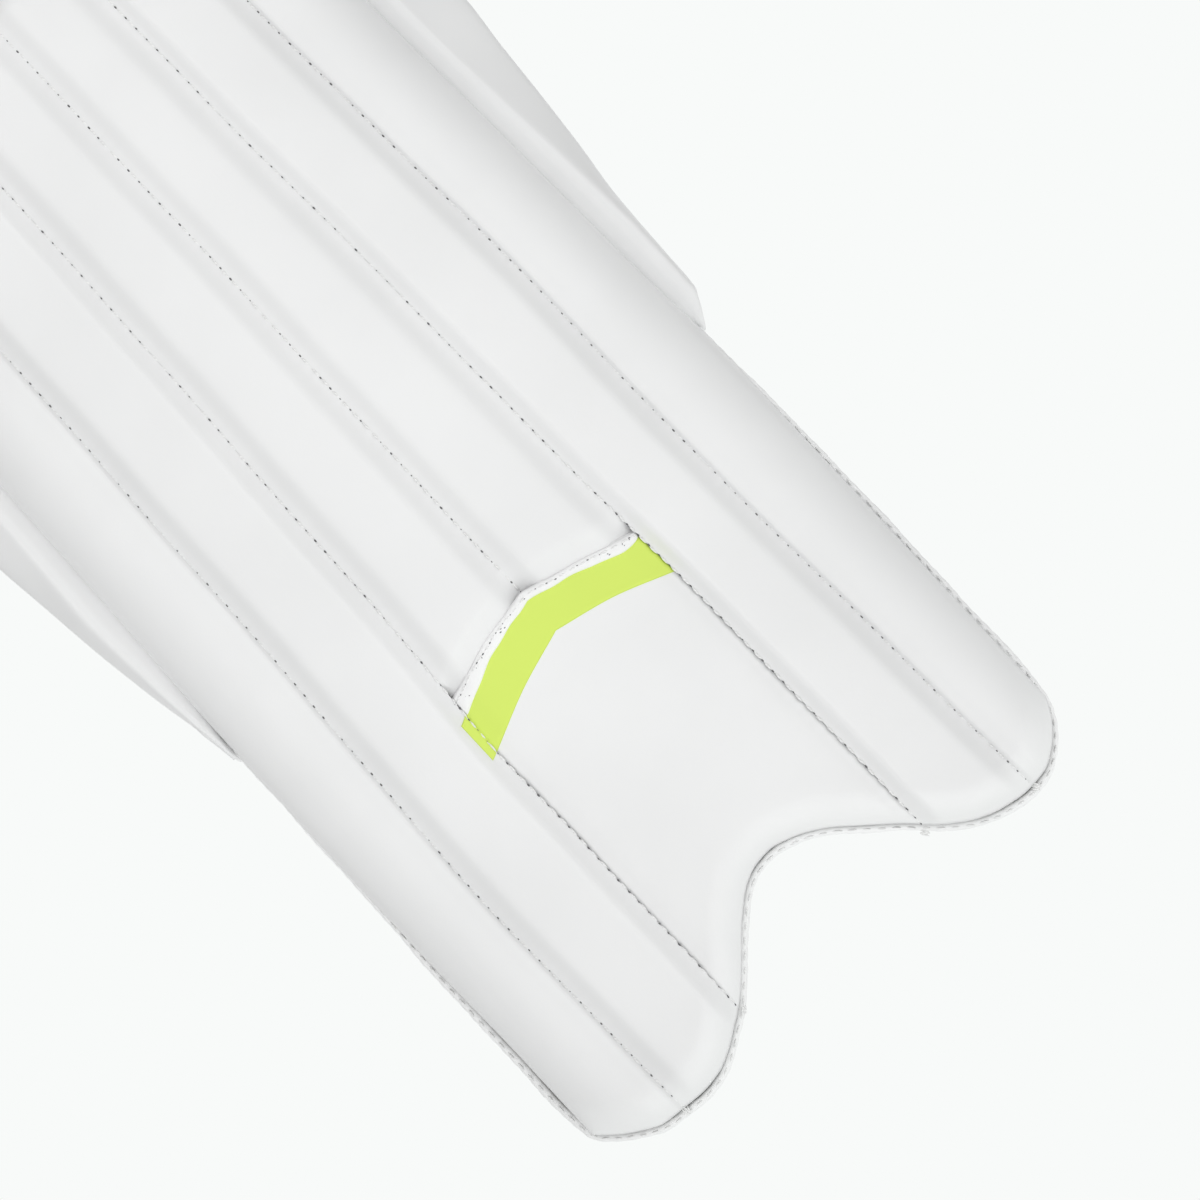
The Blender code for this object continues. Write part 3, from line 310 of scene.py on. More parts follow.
def build_threads(thread_mat, hole_mat):
    for key, store in THREADS.items():
        verts, faces, index, base = [], [], [], 0
        rings, sides = 5, 6
        for centre, t, u, length, radius in store["thread"]:
            side = np.cross(t, u)
            for r in range(rings):
                s = r / (rings - 1) * 2 - 1
                fat = math.sqrt(max(0.04, 1 - s ** 4))
                drop = -0.55 * radius * abs(s) ** 2.5
                for k in range(sides):
                    a = 2 * math.pi * k / sides
                    verts.append(centre + t * (s * length / 2 * MM) + (side * math.cos(a) + u * math.sin(a)) * (radius * fat * MM) + u * drop * MM)
            for r in range(rings - 1):
                for k in range(sides):
                    n = (k + 1) % sides
                    faces.append((base + r * sides + k, base + r * sides + n, base + (r + 1) * sides + n, base + (r + 1) * sides + k))
                    index.append(0)
            faces.append(tuple(base + k for k in range(sides))[::-1]); index.append(0)
            faces.append(tuple(base + (rings - 1) * sides + k for k in range(sides))); index.append(0)
            base += rings * sides
        # the needle holes: small sunken dark discs, painted shade for the hollow of each hole
        for centre, t, u, radius in store["hole"]:
            side = np.cross(t, u)
            for depth in (0.10, -0.25):
                for k in range(sides):
                    a = 2 * math.pi * k / sides
                    verts.append(centre + (t * math.cos(a) * 1.6 + side * math.sin(a) * 0.8) * (radius * MM) + u * depth * MM)
            for k in range(sides):
                n = (k + 1) % sides
                faces.append((base + k, base + n, base + sides + n, base + sides + k)); index.append(1)
            faces.append(tuple(base + k for k in range(sides))[::-1]); index.append(1)
            faces.append(tuple(base + sides + k for k in range(sides))); index.append(1)
            base += 2 * sides
        obj = new_object(key, verts, faces, mats=[thread_mat, hole_mat], index=index)
        bm = bmesh.new()
        bm.from_mesh(obj.data)
        bmesh.ops.recalc_face_normals(bm, faces=bm.faces)
        bm.to_mesh(obj.data)
        bm.free()
        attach(obj, store["body"])


# ------------------------------------------------------------------ materials
def nodes_of(name):
    m = bpy.data.materials.new(name)
    m.use_nodes = True
    return m, m.node_tree, m.node_tree.nodes["Principled BSDF"]


def node(tree, kind, **values):
    n = tree.nodes.new(kind)
    for k, v in values.items():
        if k in n.inputs:
            n.inputs[k].default_value = v
        else:
            setattr(n, k, v)
    return n


def leather(name, colour, rough=0.45, grain=0.035, specular=0.42, tint=0.012, grain_size=1500.0, sheen=0.0, painted_shade=0.30):
    """Coated cloth: fine pebble grain, faint cloudiness in colour and in gloss, and painted shade that darkens the
    colour where the mesh's painted shade attribute is high.
    """
    m, tree, bsdf = nodes_of(name)
    link = tree.links.new
    coord = node(tree, "ShaderNodeTexCoord")
    cells = node(tree, "ShaderNodeTexVoronoi", Scale=grain_size)
    cells.feature = "SMOOTH_F1"
    fine = node(tree, "ShaderNodeTexNoise", Scale=grain_size * 0.45, Detail=4.0, Roughness=0.6)
    cloud = node(tree, "ShaderNodeTexNoise", Scale=14.0, Detail=3.0, Roughness=0.5)
    for n in (cells, fine, cloud):
        link(coord.outputs["Object"], n.inputs["Vector"])
    add = node(tree, "ShaderNodeMath", operation="ADD")
    link(cells.outputs["Distance"], add.inputs[0])
    link(fine.outputs["Fac"], add.inputs[1])
    bump = node(tree, "ShaderNodeBump", Strength=grain, Distance=0.0004)
    link(add.outputs[0], bump.inputs["Height"])
    soft = node(tree, "ShaderNodeTexNoise", Scale=55.0, Detail=3.0, Roughness=0.55)
    link(coord.outputs["Object"], soft.inputs["Vector"])
    wide = node(tree, "ShaderNodeBump", Strength=0.12, Distance=0.0012)
    link(soft.outputs["Fac"], wide.inputs["Height"])
    link(bump.outputs["Normal"], wide.inputs["Normal"])
    link(wide.outputs["Normal"], bsdf.inputs["Normal"])
    ramp = node(tree, "ShaderNodeValToRGB")
    low = [max(0.0, c * (1 - tint * 2.2)) for c in colour]
    ramp.color_ramp.elements[0].position, ramp.color_ramp.elements[1].position = 0.35, 0.65
    ramp.color_ramp.elements[0].color = (*low, 1)
    ramp.color_ramp.elements[1].color = (*[min(1.0, c * (1 + tint)) for c in colour], 1)
    link(cloud.outputs["Fac"], ramp.inputs["Fac"])
    # painted shade: the colour is darkened towards 80% on the slopes into the seams, as the mesh attribute marks them
    shade_attribute = node(tree, "ShaderNodeAttribute", attribute_name="painted_shade")
    much = node(tree, "ShaderNodeMath", operation="MULTIPLY")
    much.inputs[1].default_value = painted_shade
    link(shade_attribute.outputs["Fac"], much.inputs[0])
    darkened = node(tree, "ShaderNodeMix", data_type="RGBA")
    link(much.outputs[0], darkened.inputs[0])
    link(ramp.outputs["Color"], darkened.inputs[6])
    darkened.inputs[7].default_value = (*[c * 0.80 for c in colour], 1)
    link(darkened.outputs[2], bsdf.inputs["Base Color"])
    gloss = node(tree, "ShaderNodeMapRange")
    gloss.inputs["To Min"].default_value, gloss.inputs["To Max"].default_value = rough - 0.05, rough + 0.07
    link(soft.outputs["Fac"], gloss.inputs["Value"])
    link(gloss.outputs["Result"], bsdf.inputs["Roughness"])
    bsdf.inputs["Specular IOR Level"].default_value = specular
    if sheen:
        bsdf.inputs["Sheen Weight"].default_value = sheen
    return m


def cloth(name, colour, dark, scale=900.0, ratio=1.0, rough=0.9, bump_distance=0.0005, strength=0.6, sheen=0.25, diagonal=False, across="X"):
    """Woven cloth: two crossed sets of threads, darker in the gaps."""
    m, tree, bsdf = nodes_of(name)
    link = tree.links.new
    coord = node(tree, "ShaderNodeTexCoord")
    turn = node(tree, "ShaderNodeMapping")
    if diagonal:
        turn.inputs["Rotation"].default_value = (0.0, math.radians(45), 0.0)
    link(coord.outputs["Object"], turn.inputs["Vector"])
    warp = node(tree, "ShaderNodeTexWave", Scale=scale / 6.2832, Distortion=0.6)
    warp.wave_type, warp.bands_direction = "BANDS", across
    weft = node(tree, "ShaderNodeTexWave", Scale=scale * ratio / 6.2832, Distortion=0.6)
    weft.wave_type, weft.bands_direction = "BANDS", "Z"
    fuzz = node(tree, "ShaderNodeTexNoise", Scale=scale * 1.5, Detail=3.0)
    for n in (warp, weft, fuzz):
        link(turn.outputs["Vector"], n.inputs["Vector"])
    high = node(tree, "ShaderNodeMath", operation="MAXIMUM")
    link(warp.outputs["Fac"], high.inputs[0])
    link(weft.outputs["Fac"], high.inputs[1])
    total = node(tree, "ShaderNodeMath", operation="MULTIPLY_ADD")
    total.inputs[1].default_value = 0.5
    link(fuzz.outputs["Fac"], total.inputs[0])
    link(high.outputs[0], total.inputs[2])
    bump = node(tree, "ShaderNodeBump", Strength=strength, Distance=bump_distance)
    link(total.outputs[0], bump.inputs["Height"])
    link(bump.outputs["Normal"], bsdf.inputs["Normal"])
    ramp = node(tree, "ShaderNodeValToRGB")
    ramp.color_ramp.elements[0].position, ramp.color_ramp.elements[1].position = 0.25, 0.95
    ramp.color_ramp.elements[0].color, ramp.color_ramp.elements[1].color = (*dark, 1), (*colour, 1)
    link(high.outputs[0], ramp.inputs["Fac"])
    cloud = node(tree, "ShaderNodeTexNoise", Scale=38.0, Detail=4.0)
    link(turn.outputs["Vector"], cloud.inputs["Vector"])
    spread = node(tree, "ShaderNodeMapRange")
    spread.inputs["From Min"].default_value, spread.inputs["From Max"].default_value = 0.35, 0.70
    spread.inputs["To Min"].default_value, spread.inputs["To Max"].default_value = 0.0, 0.5
    link(cloud.outputs["Fac"], spread.inputs["Value"])
    darkened = node(tree, "ShaderNodeMix", data_type="RGBA")
    link(spread.outputs["Result"], darkened.inputs[0])
    link(ramp.outputs["Color"], darkened.inputs[6])
    darkened.inputs[7].default_value = (*[c * 0.86 for c in colour], 1)
    link(darkened.outputs[2], bsdf.inputs["Base Color"])
    bsdf.inputs["Roughness"].default_value = rough
    bsdf.inputs["Specular IOR Level"].default_value = 0.2
    bsdf.inputs["Sheen Weight"].default_value = sheen
    return m


def pile(name, colour, dark, scale, rough=0.95, strength=0.8, distance=0.0008):
    """Hook or loop tape: a dense field of small tufts."""
    m, tree, bsdf = nodes_of(name)
    link = tree.links.new
    coord = node(tree, "ShaderNodeTexCoord")
    cells = node(tree, "ShaderNodeTexVoronoi", Scale=scale)
    grit = node(tree, "ShaderNodeTexNoise", Scale=scale * 2.2, Detail=4.0)
    for n in (cells, grit):
        link(coord.outputs["Object"], n.inputs["Vector"])
    flip = node(tree, "ShaderNodeMath", operation="SUBTRACT")
    flip.inputs[0].default_value = 1.0
    link(cells.outputs["Distance"], flip.inputs[1])
    both = node(tree, "ShaderNodeMath", operation="MULTIPLY")
    link(flip.outputs[0], both.inputs[0])
    link(grit.outputs["Fac"], both.inputs[1])
    bump = node(tree, "ShaderNodeBump", Strength=strength, Distance=distance)
    link(both.outputs[0], bump.inputs["Height"])
    link(bump.outputs["Normal"], bsdf.inputs["Normal"])
    ramp = node(tree, "ShaderNodeValToRGB")
    ramp.color_ramp.elements[0].position, ramp.color_ramp.elements[1].position = 0.15, 0.6
    ramp.color_ramp.elements[0].color, ramp.color_ramp.elements[1].color = (*dark, 1), (*colour, 1)
    link(both.outputs[0], ramp.inputs["Fac"])
    link(ramp.outputs["Color"], bsdf.inputs["Base Color"])
    bsdf.inputs["Roughness"].default_value = rough
    bsdf.inputs["Specular IOR Level"].default_value = 0.15
    bsdf.inputs["Sheen Weight"].default_value = 0.3
    return m


def foam_material(name, colour):
    m, tree, bsdf = nodes_of(name)
    link = tree.links.new
    coord = node(tree, "ShaderNodeTexCoord")
    cells = node(tree, "ShaderNodeTexVoronoi", Scale=1300.0)
    link(coord.outputs["Object"], cells.inputs["Vector"])
    ramp = node(tree, "ShaderNodeValToRGB")
    ramp.color_ramp.elements[0].color = (*[c * 0.7 for c in colour], 1)
    ramp.color_ramp.elements[1].color = (*colour, 1)
    link(cells.outputs["Distance"], ramp.inputs["Fac"])
    link(ramp.outputs["Color"], bsdf.inputs["Base Color"])
    bump = node(tree, "ShaderNodeBump", Strength=0.5, Distance=0.0006)
    link(cells.outputs["Distance"], bump.inputs["Height"])
    link(bump.outputs["Normal"], bsdf.inputs["Normal"])
    bsdf.inputs["Roughness"].default_value = 0.95
    return m


def cane_material(name):
    m, tree, bsdf = nodes_of(name)
    link = tree.links.new
    coord = node(tree, "ShaderNodeTexCoord")
    stretch = node(tree, "ShaderNodeMapping")
    stretch.inputs["Scale"].default_value = (900.0, 900.0, 18.0)
    link(coord.outputs["Object"], stretch.inputs["Vector"])
    fibre = node(tree, "ShaderNodeTexNoise", Scale=1.0, Detail=5.0)
    link(stretch.outputs["Vector"], fibre.inputs["Vector"])
    ramp = node(tree, "ShaderNodeValToRGB")
    ramp.color_ramp.elements[0].position, ramp.color_ramp.elements[1].position = 0.3, 0.7
    ramp.color_ramp.elements[0].color, ramp.color_ramp.elements[1].color = (0.45, 0.30, 0.13, 1), (0.78, 0.62, 0.36, 1)
    link(fibre.outputs["Fac"], ramp.inputs["Fac"])
    link(ramp.outputs["Color"], bsdf.inputs["Base Color"])
    bump = node(tree, "ShaderNodeBump", Strength=0.4, Distance=0.0003)
    link(fibre.outputs["Fac"], bump.inputs["Height"])
    link(bump.outputs["Normal"], bsdf.inputs["Normal"])
    bsdf.inputs["Roughness"].default_value = 0.55
    return m


def thread_material(name, colour, rough=0.6):
    m, tree, bsdf = nodes_of(name)
    link = tree.links.new
    coord = node(tree, "ShaderNodeTexCoord")
    twist = node(tree, "ShaderNodeTexWave", Scale=420.0, Distortion=1.5)
    twist.bands_direction = "DIAGONAL"
    link(coord.outputs["Object"], twist.inputs["Vector"])
    ramp = node(tree, "ShaderNodeValToRGB")
    ramp.color_ramp.elements[0].color = (*[c * 0.86 for c in colour], 1)
    ramp.color_ramp.elements[1].color = (*colour, 1)
    link(twist.outputs["Fac"], ramp.inputs["Fac"])
    link(ramp.outputs["Color"], bsdf.inputs["Base Color"])
    bump = node(tree, "ShaderNodeBump", Strength=0.4, Distance=0.0002)
    link(twist.outputs["Fac"], bump.inputs["Height"])
    link(bump.outputs["Normal"], bsdf.inputs["Normal"])
    bsdf.inputs["Roughness"].default_value = rough
    return m


WHITE = leather("white_coated_cloth", (0.85, 0.85, 0.852), rough=0.46)
WHITE_EDGE = leather("white_edge_binding", (0.90, 0.90, 0.90), rough=0.5, grain=0.08, tint=0.02)
LIME = leather("lime_coated_cloth", (0.665, 0.825, 0.135), rough=0.5, grain=0.03, tint=0.015)
THREAD = thread_material("white_thread", (0.90, 0.90, 0.895))
# dark grey for the needle holes: painted shade standing for the hollow of each hole
HOLE = leather("needle_hole", (0.15, 0.15, 0.155), rough=0.8, grain=0.2)
LINING = cloth("grey_lining_cloth", (0.50, 0.51, 0.53), (0.41, 0.42, 0.44), scale=1500.0)
LINING_SOFT = cloth("pale_lining_cloth", (0.64, 0.65, 0.66), (0.54, 0.55, 0.57), scale=1500.0)
LINING_WING = cloth("pale_wing_lining", (0.64, 0.65, 0.66), (0.56, 0.57, 0.59), scale=1400.0, across="Y")
WEBBING = cloth("white_webbing", (0.80, 0.80, 0.80), (0.66, 0.66, 0.67), scale=1900.0, ratio=0.55, rough=0.8, bump_distance=0.0007)
HOOK = pile("hook_tape", (0.075, 0.08, 0.09), (0.02, 0.02, 0.025), 1500.0)
LOOP = pile("loop_tape", (0.10, 0.105, 0.115), (0.035, 0.035, 0.04), 900.0, strength=1.0)
FOAM = foam_material("cell_foam", (0.72, 0.71, 0.67))
CANE = cane_material("split_cane")


# ------------------------------------------------------------------ camera, light and stage
def make_camera():
    """The photograph looks square at the lower face, with its foot at the lower right."""
    turn = math.radians(42.9)
    right = Vector((math.cos(turn), 0.0, -math.sin(turn)))
    up = Vector((math.sin(turn), 0.0, math.cos(turn)))
    back = right.cross(up)
    wide, far = 0.39344, 8.0
    px = 393.44 / 1200.0
    # the picture's centre, from where the pad's own origin falls in it
    nc, d0, s = -22.0, 1290.0, 3.05
    n, d = (0.7325, -0.6807), (0.6807, 0.7325)
    ox, oy = n[0] * nc + d[0] * d0, n[1] * nc + d[1] * d0
    across, down = (600 - ox) * px * MM, (600 - oy) * px * MM
    face = Vector((0.0, -0.083, 0.0))
    centre = face + right * across - up * down
    data = bpy.data.cameras.new("camera")
    data.type = "PERSP"
    data.sensor_fit = "HORIZONTAL"
    data.sensor_width = 36.0
    data.lens = 36.0 * far / wide
    data.clip_end = 50.0
    cam = bpy.data.objects.new("camera", data)
    bpy.context.scene.collection.objects.link(cam)
    m = Matrix((right, up, back)).transposed().to_4x4()
    m.translation = centre + back * far
    cam.matrix_world = m
    bpy.context.scene.camera = cam
    return right, up, back, centre


RIGHT, UP, BACK, AIM = make_camera()


def area_light(name, where, size, power, target=AIM, colour=(1, 1, 1)):
    data = bpy.data.lights.new(name, "AREA")
    data.shape = "RECTANGLE"
    data.size, data.size_y = size
    data.energy = power
    data.color = colour
    obj = bpy.data.objects.new(name, data)
    bpy.context.scene.collection.objects.link(obj)
    obj.location = where
    obj.rotation_euler = (Vector(target) - Vector(where)).to_track_quat("-Z", "Y").to_euler()
    return obj


def make_stage():
    world = bpy.data.worlds.new("studio")
    bpy.context.scene.world = world
    world.use_nodes = True
    tree = world.node_tree
    seen = tree.nodes["Background"]
    seen.inputs["Color"].default_value = (0.939, 0.956, 0.947, 1)
    seen.inputs["Strength"].default_value = 1.0
    fill = node(tree, "ShaderNodeBackground")
    fill.inputs["Color"].default_value = (1.0, 1.0, 1.0, 1)
    fill.inputs["Strength"].default_value = FILL
    path = node(tree, "ShaderNodeLightPath")
    both = node(tree, "ShaderNodeMixShader")
    tree.links.new(path.outputs["Is Camera Ray"], both.inputs[0])
    tree.links.new(fill.outputs[0], both.inputs[1])
    tree.links.new(seen.outputs[0], both.inputs[2])
    tree.links.new(both.outputs[0], tree.nodes["World Output"].inputs["Surface"])
    m, tree, bsdf = nodes_of("pale_floor")
    glow = node(tree, "ShaderNodeEmission")
    glow.inputs["Color"].default_value = (0.939, 0.956, 0.947, 1)
    tree.links.new(glow.outputs["Emission"], tree.nodes["Material Output"].inputs["Surface"])
    a = np.linspace(0, 2 * math.pi, 97)[:-1]
    rim = np.stack([np.cos(a) * 1.6, np.sin(a) * 1.6, np.full(96, -0.0012)], -1)
    floor = new_object("floor", rim, [tuple(range(96))], m, smooth=False)
    area_light("front", AIM + BACK * 2.6 + Vector((0, 0, 0.5)), (1.6, 1.6), KEY)
    for tag, sign, power in (("left", -1, SIDES[0]), ("right", 1, SIDES[1])):
        turn = math.radians(47)
        area_light("softbox_" + tag, AIM + Vector((sign * math.sin(turn), -math.cos(turn), 0.1)) * 2.4, (1.5, 2.0), power)
    area_light("top", AIM + BACK * 1.2 + Vector((0.2, 0, 2.0)), (1.6, 1.6), TOP)
    area_light("rear", AIM - BACK * 2.4 + Vector((0, 0, 0.9)), (2.2, 2.2), REAR)
    return floor


FILL, KEY, TOP, REAR, SIDES = 0.40, 13.2, 2.0, 14.0, (12.8, 12.3)
make_stage()
scene = bpy.context.scene
scene.view_settings.view_transform = "Standard"
scene.view_settings.look = "None"


# ------------------------------------------------------------------ the quilted face as a height over (x, z)
WANDER = (0.0, 1.3, 2.1, 3.7, 4.4, 5.9, 0.0)


def seamline(k, z):
    z = np.asarray(z, float)
    off = 0.0 if k in (0, 6) else 0.20 * np.sin(z / 31.0 + WANDER[k]) + 0.13 * np.sin(z / 12.7 + 2.3 * WANDER[k])
    return through(SEAMS[k], z) + off


def dip(d, wide, deep, crease=0.35):
    """How far the skin is drawn in at distance d from a sewn line: level beside the stitches, then an easy slope."""
    d = np.maximum(d, 0.0)
    return deep * 0.5 * (1 + np.cos(math.pi * np.clip(d / wide, 0, 1))) + crease * np.exp(-(d / 0.75) ** 1.5)


# Each seam's valley: how wide it is on its left and on its right, and how deep.
VALLEY = {1: (1.5, 8.0, 2.6), 2: (7.5, 10.0, 3.3), 3: (9.0, 9.0, 3.1), 4: (11.0, 6.0, 3.2), 5: (8.0, 1.5, 2.6)}
OUTER_DIP = 1.15                                            # what is left of that depth beside an outer roll
OUTER_ROLL = ((0.0, 20.4), (0.12, 21.4), (0.28, 22.6), (0.46, 23.1), (0.62, 22.6), (0.76, 21.0), (0.88, 18.0), (0.96, 13.2), (1.0, EDGE_N))


def pucker(d, z, phase, size=0.13):
    """Small gathers between the stitches, and a few longer creases that run off the seam."""
    short = np.cos(2 * math.pi * z / 4.9 + phase) * np.exp(-np.maximum(d, 0) / 2.6)
    long = (np.sin(z / 5.3 + phase * 2) * np.sin(z / 17.0 + phase)) * np.exp(-np.maximum(d, 0) / 6.5)
    return size * short + 0.16 * long


def round_end(d, r):
    t = np.clip(np.asarray(d, float) / r, 0, 1)
    return np.sqrt(np.maximum(0, 1 - (1 - t) ** 2))


def slope_cos(f, x):
    g = (f(x + 0.5) - f(x - 0.5))
    return 1.0 / np.sqrt(1 + g * g)


def foot(x):
    return outline(x) + 3.0


def instep_top(x):
    return cornered(INSTEP_TOP, x)


def channel_height(k, x, z):
    dl, dr = x - seamline(k, z), seamline(k + 1, z) - x
    w = np.maximum(dl + dr, 1e-6)
    f = np.clip(dl / w, 0, 1)
    n = CROWN - 0.35 + 0.35 * (1 - (2 * f - 1) ** 2)
    beside = step((168.0 - z) / 14.0) * 0.7
    if k == 0 or k == 5:
        n = through(OUTER_ROLL, (1 - f) if k == 0 else f)
        d = dr if k == 0 else dl
        left, right, deep = VALLEY[1 if k == 0 else 5]
        n = n - dip(d, left if k == 0 else right, OUTER_DIP) + pucker(d, z, WANDER[k + 1 if k == 0 else k])
    else:
        n = n - dip(dl, VALLEY[k][1], VALLEY[k][2] + (beside if k == 4 else 0.0)) - dip(dr, VALLEY[k + 1][0], VALLEY[k + 1][2] + (beside if k == 1 else 0.0))
        n = n + pucker(dl, z, WANDER[k] + 0.4) + pucker(dr, z, WANDER[k + 1])
    p = np.stack([x, z], -1)
    n = n + 0.16 * ripple(p, 62.0, seed=1.0 + 0.1 * k) * np.clip(np.minimum(dl, dr) / 8.0, 0, 1) + 0.045 * ripple(p, 17.0, seed=3.0)
    if k in (2, 3):
        d = (z - instep_top(x)) * slope_cos(instep_top, x)
        n = n - dip(d, 9.5, 3.7, crease=0.4) * step((d + 4.0) / 2.0)
    else:
        d = (z - foot(x)) * slope_cos(foot, x)
        edge = 3.2
        n = edge + (n - edge) * round_end(d + 0.04, 12.5)
    top = SHIN_TOP + 0.4 - z
    return 1.2 + (n - 1.2) * round_end(top, 9.5)


def panel_height(x, z):
    dl, dr = x - seamline(2, z), seamline(4, z) - x
    f = np.clip(dl / np.maximum(dl + dr, 1e-6), 0, 1)
    n = 18.35 + 0.55 * (1 - (2 * f - 1) ** 2)
    for d, k in ((dl, 2), (dr, 4)):
        n = n - dip(d, 9.0, 1.3, crease=0.55)
        n = n + 0.8 * pucker(d, z, WANDER[k] + 0.9)
    p = np.stack([x, z], -1)
    n = n + 0.10 * ripple(p, 40.0, seed=2.0) + 0.04 * ripple(p, 14.0, seed=4.0)
    d = (z - foot(x)) * slope_cos(foot, x)
    n = 3.2 + (n - 3.2) * round_end(d + 0.04, 12.0)
    return n - 0.5 * np.clip(1 - (instep_top(x) - z) / 3.0, 0, 1)


def face_height(x, z):
    """The outer skin anywhere between the inner seams' outer channels, for what is sewn across them."""
    left, right = channel_height(1, x, z), channel_height(4, x, z)
    return np.where(x < seamline(2, z), left, np.where(x > seamline(4, z), right, panel_height(x, z)))


def crowd(count):
    """Fractions from 0 to 1, close together at both ends."""
    t = np.linspace(0, 1, count)
    return mix(t, 0.5 - 0.5 * np.cos(math.pi * t), 0.85)


def face_grid(first, last, low, high, rows, across=30):
    """(x, z) of a grid over channels first to last, from the line low(x) up to high(x)."""
    t = np.linspace(0, 1, rows)
    t = mix(t, t ** 1.35, 0.5)
    cols_x, cols_z, chan = [], [], []
    for k in range(first, last + 1):
        fs = crowd(across)
        if k > first:
            fs = fs[1:]
        for f in fs:
            x0 = mix(seamline(k, 30.0 if low is foot else 160.0), seamline(k + 1, 30.0 if low is foot else 160.0), f)
            for _ in range(3):
                zl = low(np.array(x0))
                x0 = mix(seamline(k, zl), seamline(k + 1, zl), f)
            zh = high(np.array(x0))
            z = mix(zl, zh, t)
            cols_x.append(mix(seamline(k, z), seamline(k + 1, z), f))
            cols_z.append(z)
            chan.append(k)
    return np.array(cols_x).T, np.array(cols_z).T, np.array(chan)


def top_line(x):
    return np.full_like(np.asarray(x, float), SHIN_TOP)


def shin_face(name, first, last, low, rows, nodes):
    x, z, chan = face_grid(first, last, low, top_line, rows)
    n = np.empty_like(x)
    for k in range(first, last + 1):
        c = chan == k
        n[:, c] = channel_height(k, x[:, c], z[:, c])
    # painted shade on the slopes that run down into the seams
    obj = skin(name, at(x, n, z), 1.2, WHITE, painted_shade=painted_slope_shade(x, n) * near_seams(x, z))
    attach(obj, "shin")
    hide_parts(*nodes)
    return obj


SLOT = {"white": "white_pu", "lime": "lime_pu", "lining": "lining", "webbing": "webbing", "hook": "hook_and_loop", "binding": "binding"}
KNOWN = {m.get("slot") for m in frame["record"].get("materials", [])}
SLOT = {k: (v if v in KNOWN else sorted(KNOWN)[0]) for k, v in SLOT.items()}

ROWS = 250
shin_face("shin_face_left", 0, 1, foot, ROWS,
          ["shin_cover_left", "shin_foam_outer_left", "shin_foam_inner_left", "cane_bundle_outer_left", "cane_bundle_inner_left"])
shin_face("shin_face_right", 4, 5, foot, ROWS,
          ["shin_cover_right", "shin_foam_outer_right", "shin_foam_inner_right", "cane_bundle_outer_right", "cane_bundle_inner_right"])
shin_face("shin_face_centre", 2, 3, instep_top, int(ROWS * 0.65),
          ["shin_cover_centre", "shin_foam_centre_left", "shin_foam_centre_right", "cane_bundle_centre_left", "cane_bundle_centre_right"])


def instep_face():
    rows, cols = 90, 64
    s = crowd(cols)[None, :]
    x0 = mix(seamline(2, 40.0), seamline(4, 40.0), s)
    low = foot(x0)
    x1 = mix(seamline(2, 150.0), seamline(4, 150.0), s)
    high = instep_top(x1) + 1.2
    t = np.linspace(0, 1, rows)[:, None] ** 1.15
    z = mix(low, high, t)
    x = mix(seamline(2, z), seamline(4, z), s)
    n = panel_height(x, z)
    # painted shade on the slopes beside the panel's two seams
    obj = skin("instep_face", at(x, n, z), 1.2, WHITE, painted_shade=painted_slope_shade(x, n, 0.1, 0.5) * near_seams(x, z, 6.0, (2, 4)))
    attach(obj, "shin")
    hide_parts("instep_cover", "instep_foam")
    return obj


instep_face()


def stripe_shape():
    """The bright stripe: it laps over the left seam and stops in the right one."""
    cols, rows = 150, 22
    u = np.linspace(0, 1, cols)[None, :]
    v = np.linspace(0, 1, rows)[:, None]
    x0 = mix(-44.2, 42.6, u)
    z = mix(cornered(STRIPE_FOOT, x0), cornered(STRIPE_TOP, x0), v)
    x = mix(-44.2 + 0 * z, seamline(4, z) - 0.15, u)
    z = mix(cornered(STRIPE_FOOT, x), cornered(STRIPE_TOP, x), v)
    n = face_height(x, z)
    d = np.abs(x - seamline(2, z))
    n = n + 0.30 + 0.25 * np.exp(-d / 0.9)
    edge = np.minimum(np.minimum(u, 1 - u) * cols, np.minimum(v, 1 - v) * rows)
    n = n - 0.16 * np.exp(-edge / 0.8)
    obj = shell("instep_stripe_band", at(x, n, z), at(x, n - 0.42, z), LIME)
    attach(obj, "shin")
    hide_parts("instep_stripe")
    return obj


stripe_shape()


def folded_edge():
    """The turned white edge that closes the panel against the ends of the middle channels."""
    cols, rows = 190, 16
    u = np.linspace(0, 1, cols)[None, :]
    v = np.linspace(0, 1, rows)[:, None]
    x0 = mix(-41.2, 42.4, u)
    low = cornered(STRIPE_TOP, x0) - 0.5 + 0.18 * np.sin(x0 / 2.1)
    high = instep_top(x0) + 0.9 + 0.15 * np.sin(x0 / 3.3 + 1)
    z = mix(low, high, v)
    x = mix(seamline(2, z) + 0.25, seamline(4, z) - 0.25, u)
    base = panel_height(x, np.minimum(z, instep_top(x) - 3.0))
    p = np.stack([x, z], -1)
    bulge = np.clip(np.sin(math.pi * np.clip(v, 0.0, 1.0)), 0, 1) ** 0.45
    n = base + 0.25 + 0.85 * bulge + 0.16 * ripple(p, 5.5, seed=6.0) * bulge
    ends = np.clip(np.minimum(u, 1 - u) * cols / 5.0, 0, 1) ** 0.5
    n = base + (n - base) * mix(0.45, 1.0, ends)
    obj = shell("instep_folded_edge", at(x, n, z), at(x, base - 0.9 + 0 * n, z), WHITE_EDGE)
    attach(obj, "shin")
    return obj


folded_edge()


def radial(x, n, z):
    return unit(at(x, np.asarray(n) + 1.0, z) - at(x, n, z))


